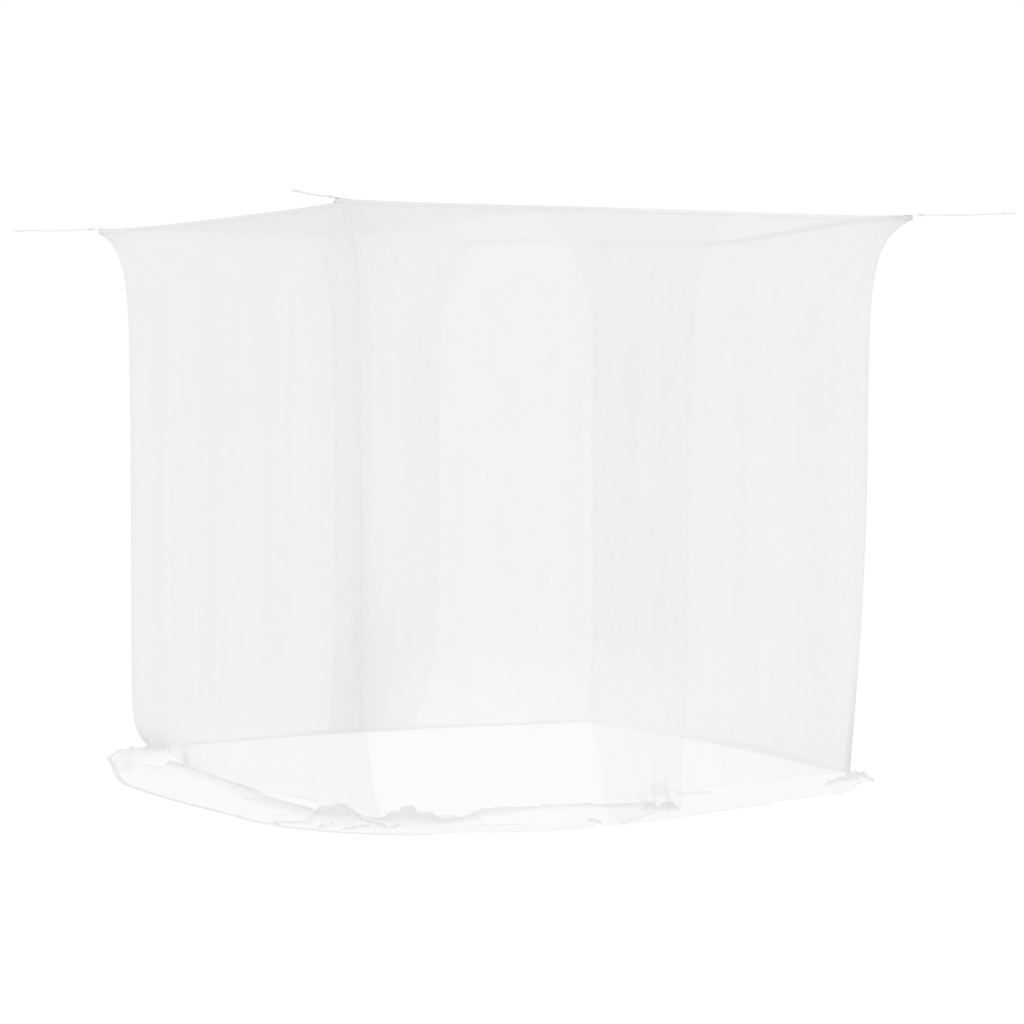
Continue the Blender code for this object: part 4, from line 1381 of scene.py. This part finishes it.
roof_inputs = {"Cells": (INTEGER, 180), "Half Side": (FLOAT, HALF), "Middle Sag": (FLOAT, ROOF_SAG)}
for name, wall in WALLS.items():
    first, last = [CORNERS[end]["middle"][1 - wall["along"]] for end in wall["ends"]]
    values = {"Sag": wall["sag"], "First Pull": first, "Last Pull": last}
    roof_inputs.update({f"{name.title()} {label}": (FLOAT, value) for label, value in values.items()})
roof_inputs.update({
    "Slack": (FLOAT, 0.006), "Corner Folds": (FLOAT, 0.004), "Seed": (FLOAT, 7.0),
    "Left Shade And Density": (FLOAT, 0.5), "Material": (MATERIAL, None),
})
roof_tree, given = new_group("Net roof", "GeometryNodeTree", roof_inputs, {"Roof": GEOMETRY})
put = partial(add, roof_tree)
grid = put("GeometryNodeMeshGrid", 1.0, 1.0, given["Cells"], given["Cells"], out="Mesh")
x, y, _ = split(put("GeometryNodeInputPosition"))
share_x, share_y = x + 0.5, y + 0.5
rims = {}
for name, wall in WALLS.items():
    share = share_x if wall["along"] == 0 else share_y
    first, last = [given[f"{name.title()} {end} Pull"] for end in ("First", "Last")]
    sizes = {"Half_Side": given["Half Side"], "First_Pull": first, "Last_Pull": last}
    rims[name] = use_group(roof_tree, rim_tree, Share=share, **sizes)

place_x = mix(share_x, -rims["left"]["Out"], rims["right"]["Out"])
place_y = mix(share_y, -rims["front"]["Out"], rims["back"]["Out"])
hump_x, hump_y = rims["front"]["Hump"], rims["left"]["Hump"]
seam_x = hump_x * mix(share_y, given["Front Sag"], given["Back Sag"])
seam_y = hump_y * mix(share_x, given["Left Sag"], given["Right Sag"])
both_humps = hump_x * hump_y
drop = seam_x + seam_y + both_humps * given["Middle Sag"]

flat_place = put("ShaderNodeCombineXYZ", place_x, place_y, given["Seed"])
slack = (noise(flat_place, SLACK_SCALE, detail=3.0) - 0.5) * given["Slack"] * 2.0
beside_x, beside_y = [given["Half Side"] - calc("ABSOLUTE", spot) for spot in (place_x, place_y)]
far = calc("SQRT", beside_x * beside_x + beside_y * beside_y)
turn = calc("ARCTAN2", beside_y, beside_x) * CORNER_FOLDS
fan = calc("SINE", turn) * given["Corner Folds"] * calc("EXPONENT", far * -FOLDS_FADE)
free = smooth_step(calc("SQRT", both_humps), 0.0, FREE_FROM_SEAM)
height = (slack + fan) * free - (drop + CLOTH / 2)

new_place = put("ShaderNodeCombineXYZ", place_x, place_y, height)
moved = put("GeometryNodeSetPosition", Geometry=grid, Position=new_place)
# Along the roof's left edge the net is made denser and shade is painted into its colour
left_edge = smooth_step(place_x + given["Half Side"], LEFT_SHADE_FROM, LEFT_SHADE_TO)
left_shade_and_density = (1.0 - left_edge) * given["Left Shade And Density"]
folded = put("GeometryNodeStoreNamedAttribute", Geometry=moved, Name="Folded", Value=left_shade_and_density)
mapped = put(
    "GeometryNodeStoreNamedAttribute", settings={"data_type": "FLOAT2", "domain": "CORNER"},
    Geometry=folded, Name="UVMap", Value=scaled(grid.beside("UV Map"), ROOF_SIDE),
)
give(roof_tree, Roof=finished(mapped, given["Material"]))

# %% Make the roof
roof = run_tree("roof_cloth", bpy.data.meshes.new("roof_cloth"), roof_tree, {"Material": net_cloth})
dress(roof, "roof_panel")
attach(roof, "net")
print("roof", len(roof.data.polygons), "faces", [round(size, 3) for size in roof.dimensions])

# %% [markdown]
# ## Side walls
#
# A side wall is one sheet from under the roof tape down to the floor and out to its hem. It could be dropped
# by a cloth simulation, but then the folds wouldn't lie where the photograph has them, so the sheet is laid
# on the rules above. Rows are closer together near the floor, where the crumples are.
# %% Make the side walls
WALL_COLUMNS = 380
WALL_ROWS = 150
CLOTH_TOP = 0.010
ROW_CROWDING = 1.5


def cloth_depths():
    t = np.linspace(0, 1, WALL_ROWS)
    return CLOTH_TOP + (HANG_HEIGHT - CLOTH_TOP) * (1 - (1 - t) ** ROW_CROWDING)


def skirt_steps():
    return np.linspace(0, 1, SKIRT_ROWS + 1)[1:]


def side_wall_points(wall):
    steps = np.linspace(0, 1, WALL_COLUMNS)
    rows = []
    for depth in cloth_depths():
        start, end = wall_ends(wall, depth)
        rows.append(wall_points(wall, between(start, end, steps), depth, -TAPE / 2))
    along = between(*wall_ends(wall, HANG_HEIGHT), steps)
    rows += [skirt_points(wall, along, reach, -TAPE / 2) for reach in skirt_steps()]
    rows.append(skirt_points(wall, along, 1.0, -TAPE / 2, extra=MARGIN))
    return np.array(rows)


def make_cloth(name, label, wall, points):
    """Makes a hanging sheet and prints its measures."""
    cloth = sheet_object(f"{name}_{label}_cloth", points, wall_outward(wall), net_cloth, wall["floor_shade_and_density"])
    area = sum(polygon.area for polygon in cloth.data.polygons)
    drops = steps_along(points, 0)[-1]
    print(name, label, round(area, 3), "m2, cut", drops.min().round(2), "to", drops.max().round(2), "m")
    return cloth


for name in ("left", "right"):
    cloth = make_cloth(name, "wall", WALLS[name], side_wall_points(WALLS[name]))
    dress(cloth, name + "_wall")
    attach(cloth, "net")

# %% [markdown]
# ## Door flaps
#
# A flap folds open about the slanting line from its free top corner to its foot, and the real cloth bends
# there instead of breaking. The rules below find that line, and two points on either side of it.
# %% Rules of the folding
BAND = 0.022
FLAP_COLUMNS = 240


def fold_line(flap):
    """The top and foot of the line that the flap folds about."""
    top_along = edge_along(flap, FOLD_TOP)
    foot_along = flap_start(flap, HANG_HEIGHT) + flap["run"] * CORNER_GAP
    wall = WALLS[flap["wall"]]
    return wall_points(wall, top_along, FOLD_TOP), wall_points(wall, foot_along, HANG_HEIGHT)


def blend_ends(flap):
    """Two points on either side of the fold line, square to it and in the plane of the wall."""
    top, low = fold_line(flap)
    square = unit(np.cross(unit(top - low), wall_outward(WALLS[flap["wall"]])))
    free_foot = flap_points(flap, edge_along(flap, HANG_HEIGHT), HANG_HEIGHT)
    if np.dot(free_foot - low, square) < 0:
        square = -square
    middle = (top + low) / 2
    return (middle - square * BAND).tolist(), (middle + square * BAND).tolist()


def blend_flap(obj, name):
    start, end = blend_ends(FLAPS[name])
    name + "_flap"
    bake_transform(obj)


# %% Make the door flaps


def flap_width(flap, depth):
    """Places from the corner seam to just past the free edge."""
    limit = edge_along(flap, depth) + flap["run"] * MARGIN
    return between(flap_start(flap, depth), limit, np.linspace(0, 1, FLAP_COLUMNS))


def flap_sheet_points(flap):
    rows = [flap_points(flap, flap_width(flap, depth), depth) for depth in cloth_depths()]
    along = flap_width(flap, HANG_HEIGHT)
    rows += [flap_skirt_points(flap, along, reach) for reach in skirt_steps()]
    rows.append(flap_skirt_points(flap, along, 1.0, MARGIN))
    return np.array(rows)


for name, flap in FLAPS.items():
    cloth = make_cloth(name, "door", WALLS[flap["wall"]], flap_sheet_points(flap))
    dress(cloth, name + "_door_top", name + "_door_flap")
    blend_flap(cloth, name)

# %% [markdown]
# ## Roof tapes
#
# The seam between the roof and a wall is bound: the tape lies over the edge of the roof and folds down over
# the top of the wall. Its section is an angle, swept along the seam. The photograph shows these seams only a
# little darker than the net, so the tapes are lighter, see-through copies, which is painted light, and the
# right one is a less lit copy than the rest.
# %% Make the roof tapes
SEAM_POINTS = 200
FOLD_OVER = 0.008
# The tape's section, and the places of its stitches: out and up from the seam
TAPE_SECTION = [
    (-FOLD_OVER, 0.00035), (-0.0008, 0.0004), (-0.0001, 0.0002), (0.0003, -0.0003),
    (0.0003, -0.0135), (0.0, -0.014), (-0.0008, -0.014), (-0.0009, -0.0006), (-FOLD_OVER, 0.0),
]
TAPE_STITCHES = ((0.0004, -0.0115), (0.0004, -0.0025), (-0.0060, 0.00045))


def roof_tape_line(wall):
    start, end = wall_ends(wall, 0.0)
    trim = CORNER_GAP if wall["along"] == 0 else 0.0
    start, end = [place_along + math.copysign(trim, -place_along) for place_along in (start, end)]
    along = np.linspace(start, end, SEAM_POINTS)
    return wall_points(wall, along, 0.0), wall_points(wall, along, ROOF_TAPE_WIDTH)


for name, wall in WALLS.items():
    top, low = roof_tape_line(wall)
    down = unit(low - top)
    outwards = unit(np.cross(tangents(top), down))
    if np.dot(outwards[0], wall_outward(wall)) < 0:
        outwards = -outwards
    # The right roof tape is the less lit copy and the others the most lit one: painted light and shade
    kind = thin_lit_tape if name == "right" else sheer_lit_tape
    tape = strip_object(name + "_roof_binding", top, outwards, -down, TAPE_SECTION, kind)
    dress(tape, name + "_roof_tape")
    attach(tape, "net")
    for aside, lift in TAPE_STITCHES:
        add_stitches("net", top[3:-3], outwards[3:-3], -down[3:-3], aside, lift)
    print(name, "roof tape", length_of(top), "m")

# %% [markdown]
# ## Hems
#
# The lower edge of each wall and flap is folded into a thin tape, which gives it weight and stops it from
# running. A side wall's hem lies still on the floor, and a flap's hem turns with its flap. The free edges
# of the flaps are only folded net, and let more light through.
# %% Make the hems and free edges
SIDE_HEM_POINTS, DOOR_HEM_POINTS = 260, 140
HEM_STITCHES = (-0.38,)
EDGE_STITCHES = (-0.32, 0.32)
STITCH_LIFT = 0.0004
SEAM_CLEAR = 0.001
EDGE_DEPTHS = np.concatenate([np.linspace(0.012, 1.6, 120), np.linspace(1.6, HANG_HEIGHT, 40)[1:]])


def make_strip(name, kind, material, stitch_group, stitch_shares, inner, outer, outward):
    """A strip that stands for one tape, with its rows of stitches."""
    strip, centre, across, up = strip_between(f"{name}_{kind}_binding", inner, outer, outward, material)
    dress(strip, f"{name}_{kind}_tape")
    for share in stitch_shares:
        add_stitches(stitch_group, centre, across, up, share, STITCH_LIFT)
    print(name, kind, length_of(centre), "m")
    return strip


for name in ("left", "right"):
    wall = WALLS[name]
    along = np.linspace(*wall_ends(wall, HANG_HEIGHT), SIDE_HEM_POINTS)
    lines = [skirt_points(wall, along, 1.0, extra=extra) for extra in (0.0, SEAM_GAP + HEM_WIDTH)]
    # The side hems use the see-through copy of the tape, which paints light on them
    hem = make_strip(name, "hem", thin_lit_tape, "net", HEM_STITCHES, *lines, UPWARDS)
    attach(hem, "net")


def edge_line(flap, offset):
    """A line down a flap's free edge, some way past it, and out over the floor to the hem's far side."""
    line = [flap_points(flap, edge_along(flap, depth) + offset, depth) for depth in EDGE_DEPTHS]
    foot_along = edge_along(flap, HANG_HEIGHT) + offset
    line += [flap_skirt_points(flap, foot_along, reach) for reach in skirt_steps()]
    line.append(flap_skirt_points(flap, foot_along, 1.0, SEAM_GAP + HEM_WIDTH))
    return np.array(line)


for name, flap in FLAPS.items():
    run = flap["run"]
    seam_along = flap_start(flap, HANG_HEIGHT) + run * SEAM_CLEAR
    along = np.linspace(seam_along, edge_along(flap, HANG_HEIGHT), DOOR_HEM_POINTS)
    lines = [flap_skirt_points(flap, along, 1.0, extra) for extra in (0.0, SEAM_GAP + HEM_WIDTH)]
    # The front door hems are the most lit copy of the tape and the back ones the less lit copy: painted
    # light
    kind = sheer_lit_tape if flap["wall"] == "front" else thin_lit_tape
    hem = make_strip(name, "door_hem", kind, name, HEM_STITCHES, *lines, UPWARDS)
    blend_flap(hem, name)
    lines = [edge_line(flap, offset) for offset in (run * SEAM_GAP, run * (SEAM_GAP + EDGE_WIDTH))]
    kind = dense_fold if name == "back_right" else folded_net
    facing = wall_outward(WALLS[flap["wall"]]) + UPWARDS
    edge = make_strip(name, "door_edge", kind, name, EDGE_STITCHES, *lines, facing)
    blend_flap(edge, name)

# %% [markdown]
# ## Corner seams
#
# At each corner the door's cloth is sewn to the side wall, and a narrow strip of folded net covers the seam.
# It is bent along its middle, so that it lies against both walls, and follows the horn up to the roof tape.
# %% Make the corner seam strips
SEAM_DEPTHS = np.concatenate([
    np.linspace(0.006, 0.4, 60), np.linspace(0.4, HANG_HEIGHT - 0.004, 110)[1:],
])
SEAM_HALF = SEAM_TAPE_WIDTH / 2
SEAM_DROP = -SEAM_HALF * 0.92
SEAM_SECTION = [
    (-SEAM_HALF, SEAM_DROP), (-0.0012, -0.0006), (0.0, 0.0003), (0.0012, -0.0006), (SEAM_HALF, SEAM_DROP),
    (SEAM_HALF, SEAM_DROP - 0.0008), (0.0, -0.0009), (-SEAM_HALF, SEAM_DROP - 0.0008),
]
SEAM_STITCHES = (-0.7, 0.7)
SEAM_STITCH_DROP = -SEAM_HALF * 0.62


def corner_line(name, depths):
    flap = FLAPS[name]
    wall = WALLS[flap["wall"]]
    return np.array([wall_points(wall, flap_start(flap, depth), depth) for depth in depths])


for name in CORNERS:
    line = corner_line(name, SEAM_DEPTHS)
    steep = tangents(line)
    outwards = diagonal(name)
    outwards = unit(outwards - steep * (steep @ outwards)[:, None])
    aside = unit(np.cross(steep, outwards))
    kind = faint_net if name == "front_left" else folded_net
    seam = strip_object(name + "_seam_binding", line, aside, outwards, SEAM_SECTION, kind)
    dress(seam, name + "_seam_tape")
    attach(seam, "net")
    for share in SEAM_STITCHES:
        add_stitches("net", line, aside * SEAM_HALF, outwards, share, SEAM_STITCH_DROP)
    print(name, "seam", length_of(line), "m")

# %% [markdown]
# ## Corner patches and tabs
#
# The pull of a string would tear thin net, so each corner of the roof has a doubled patch of cotton, and a
# webbing tab is sewn on it that reaches past the corner. The tab is a flat strip with a round end, swept
# from its square end to its tip. Its stitches run in a box with a cross.
# %% Make the patches
PATCH = 0.001
PATCH_POINTS = 14
PATCH_STITCH_LIFT = 0.0002
PATCH_STITCH_INSET = 2


def rim_place(share_one, share_two):
    """A point of the level corner cell of the roof, from the shares across and back."""
    outs = {}
    for name, wall in WALLS.items():
        share = share_one if wall["along"] == 0 else share_two
        outs[name] = wall_out(wall, between(-HALF, HALF, share), 0.0) - RIM_INSET
    x = between(-outs["left"], outs["right"], share_one)
    y = between(-outs["front"], outs["back"], share_two)
    return np.stack([x, y, np.zeros_like(x)], axis=-1)


def make_patch(name):
    steps = np.linspace(0.0, PATCH_SHARE, PATCH_POINTS)
    shares = [steps if side < 0 else 1 - steps for side in CORNERS[name]["side"]]
    points = rim_place(*np.meshgrid(*shares))
    points[..., 2] = SEAM_GAP + PATCH
    patch = sheet_object(name + "_corner_patch_cloth", points, UPWARDS, cotton_tape)
    dress(patch, name + "_corner_patch")
    solid = patch.modifiers.new("Thickness", "SOLIDIFY")
    solid.thickness = PATCH
    solid.offset = -1
    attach(patch, "net")
    inside = slice(PATCH_STITCH_INSET, -PATCH_STITCH_INSET)
    rows = points[inside, inside]
    border = np.concatenate([rows[0], rows[1:, -1], rows[-1, -2::-1], rows[-2::-1, 0]])
    stitch_lines["net"].append(border + UPWARDS * PATCH_STITCH_LIFT)


# %% Make the tabs
TAB_LENGTH = 0.055
TAB_HALF = 0.014 / 2
TAB_START = TAB_OVERHANG - TAB_LENGTH
TAB_ROUND = TAB_OVERHANG - TAB_HALF
TAB_TIP = 0.0004
TAB_STITCH_LIFT = TAB_THICKNESS / 2 + 0.0003
# The box's near and far end, and the corners that its stitches pass in turn
BOX = (TAB_START + 0.003, -0.003)
BOX_CORNERS = [(0, -1), (1, -1), (1, 1), (0, 1), (0, -1), (1, 1), (1, -1), (0, 1)]
BOX_HALF = 0.005


def make_tab(name):
    angle = np.linspace(0, math.pi / 2, 12)[1:]
    distances = np.concatenate([np.linspace(TAB_START, TAB_ROUND, 30), TAB_ROUND + TAB_HALF * np.sin(angle)])
    widths = np.concatenate([np.full(30, TAB_HALF), np.maximum(TAB_HALF * np.cos(angle), TAB_TIP)])
    centre = along_string(name, distances)
    left = along_string(name, distances, widths)
    sizes = (TAB_THICKNESS / 2, TAB_THICKNESS)
    full_name = name + "_corner_tab_webbing"
    tab, *_ = strip_between(full_name, 2 * centre - left, left, UPWARDS, webbing, *sizes)
    dress(tab, name + "_corner_tab")
    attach(tab, "net")
    box = [(BOX[end], side * BOX_HALF) for end, side in BOX_CORNERS]
    t = np.linspace(0, 1, 10)
    for (d0, s0), (d1, s1) in zip(box[:-1], box[1:]):
        line = along_string(name, between(d0, d1, t), between(s0, s1, t), TAB_STITCH_LIFT)
        stitch_lines["net"].append(line)


for name in CORNERS:
    make_patch(name)
    make_tab(name)
print("patches and tabs", list(CORNERS))

# %% [markdown]
# ## Stitches
#
# A seam is held by a row of small stitches, thousands on the whole net. Geometry Nodes resample each seam's
# line at the stitch pitch and put one small grain of thread at each point, turned to follow the line. The
# grain is a short tube that thins towards its ends. Instances are made real, because only real faces are
# exported. There is one mesh of stitches for the still part of the net, and one for each flap.
# %% Tree: row of stitches
GRAIN_POINTS = 3
GRAIN_SIDES = 4
# The part of a half turn that the grain's thickness follows, and where it starts
GRAIN_ARCH, GRAIN_START = 0.72 * math.pi, 0.14 * math.pi

stitch_tree, given = new_group(
    "Row of stitches",
    "GeometryNodeTree",
    {
        "Seams": (GEOMETRY, None), "Pitch": (FLOAT, 0.0058), "Length": (FLOAT, 0.0042),
        "Thickness": (FLOAT, 0.0006), "Material": (MATERIAL, None),
    },
    {"Stitches": GEOMETRY},
)
put = partial(add, stitch_tree)
seam_line = put("GeometryNodeMeshToCurve", Mesh=given["Seams"])
by_length = {"mode": "LENGTH"}
spaced = put("GeometryNodeResampleCurve", settings=by_length, Curve=seam_line, Length=given["Pitch"])
start, end = [put("ShaderNodeCombineXYZ", X=given["Length"] * half) for half in (-0.5, 0.5)]
grain_line = put("GeometryNodeCurvePrimitiveLine", Start=start, End=end)
spine = put("GeometryNodeResampleCurve", Curve=grain_line, Count=GRAIN_POINTS)
progress = put("GeometryNodeSplineParameter", out="Factor")
thickness = calc("SINE", progress * GRAIN_ARCH + GRAIN_START) * given["Thickness"]
ring = put("GeometryNodeCurvePrimitiveCircle", Resolution=GRAIN_SIDES, Radius=0.5)
grain = put("GeometryNodeCurveToMesh", Curve=spine, Profile_Curve=ring, Scale=thickness, Fill_Caps=True)
follow = {"axis": "X"}
turned = put("FunctionNodeAlignRotationToVector", settings=follow, Vector=put("GeometryNodeInputTangent"))
placed = put("GeometryNodeInstanceOnPoints", Points=spaced, Instance=grain, Rotation=turned)
give(stitch_tree, Stitches=finished(placed, given["Material"]))

# %% Make the stitches
for group, lines in stitch_lines.items():
    name = group + "_stitches"
    made = run_tree(name, path_mesh(name, lines), stitch_tree, {"Material": thread})
    if group == "net":
        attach(made, "net")
    else:
        blend_flap(made, group)
        group + "_door_hem_tape"
    print(name, len(made.data.polygons), "faces")

# %% [markdown]
# ## Flat sizes
#
# Cloth hardly stretches, so each sheet is as large as what it was cut from. The roof was cut two metres
# square. The walls were cut longer than the drop, and the table gives those lengths and widths.
# Width, length and area of each cut
CUTS = {
    "left": (2.0, 2.25, 3.95), "right": (2.0, 1.96, 3.40), "front_left": (1.15, 2.27, 2.40),
    "front_right": (1.2, 2.31, 2.20), "back_left": (1.2, 1.97, 2.25), "back_right": (1.1, 1.92, 2.05),
}
for name, (width, length, area) in CUTS.items():
    seam = (FLAPS[name]["wall"] if name in FLAPS else name) + "_roof_binding"

# %% [markdown]
# ## Finish
#
# The last step prints the size of the dressed net beside the size of the solids, so that the two can be
# compared.
# %% Finish
visual_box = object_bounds()
sizes = {"cad": [list(corner) for corner in cad_box], "visual": [list(corner) for corner in visual_box]}
print("solids", sizes["cad"], "dressed", sizes["visual"])
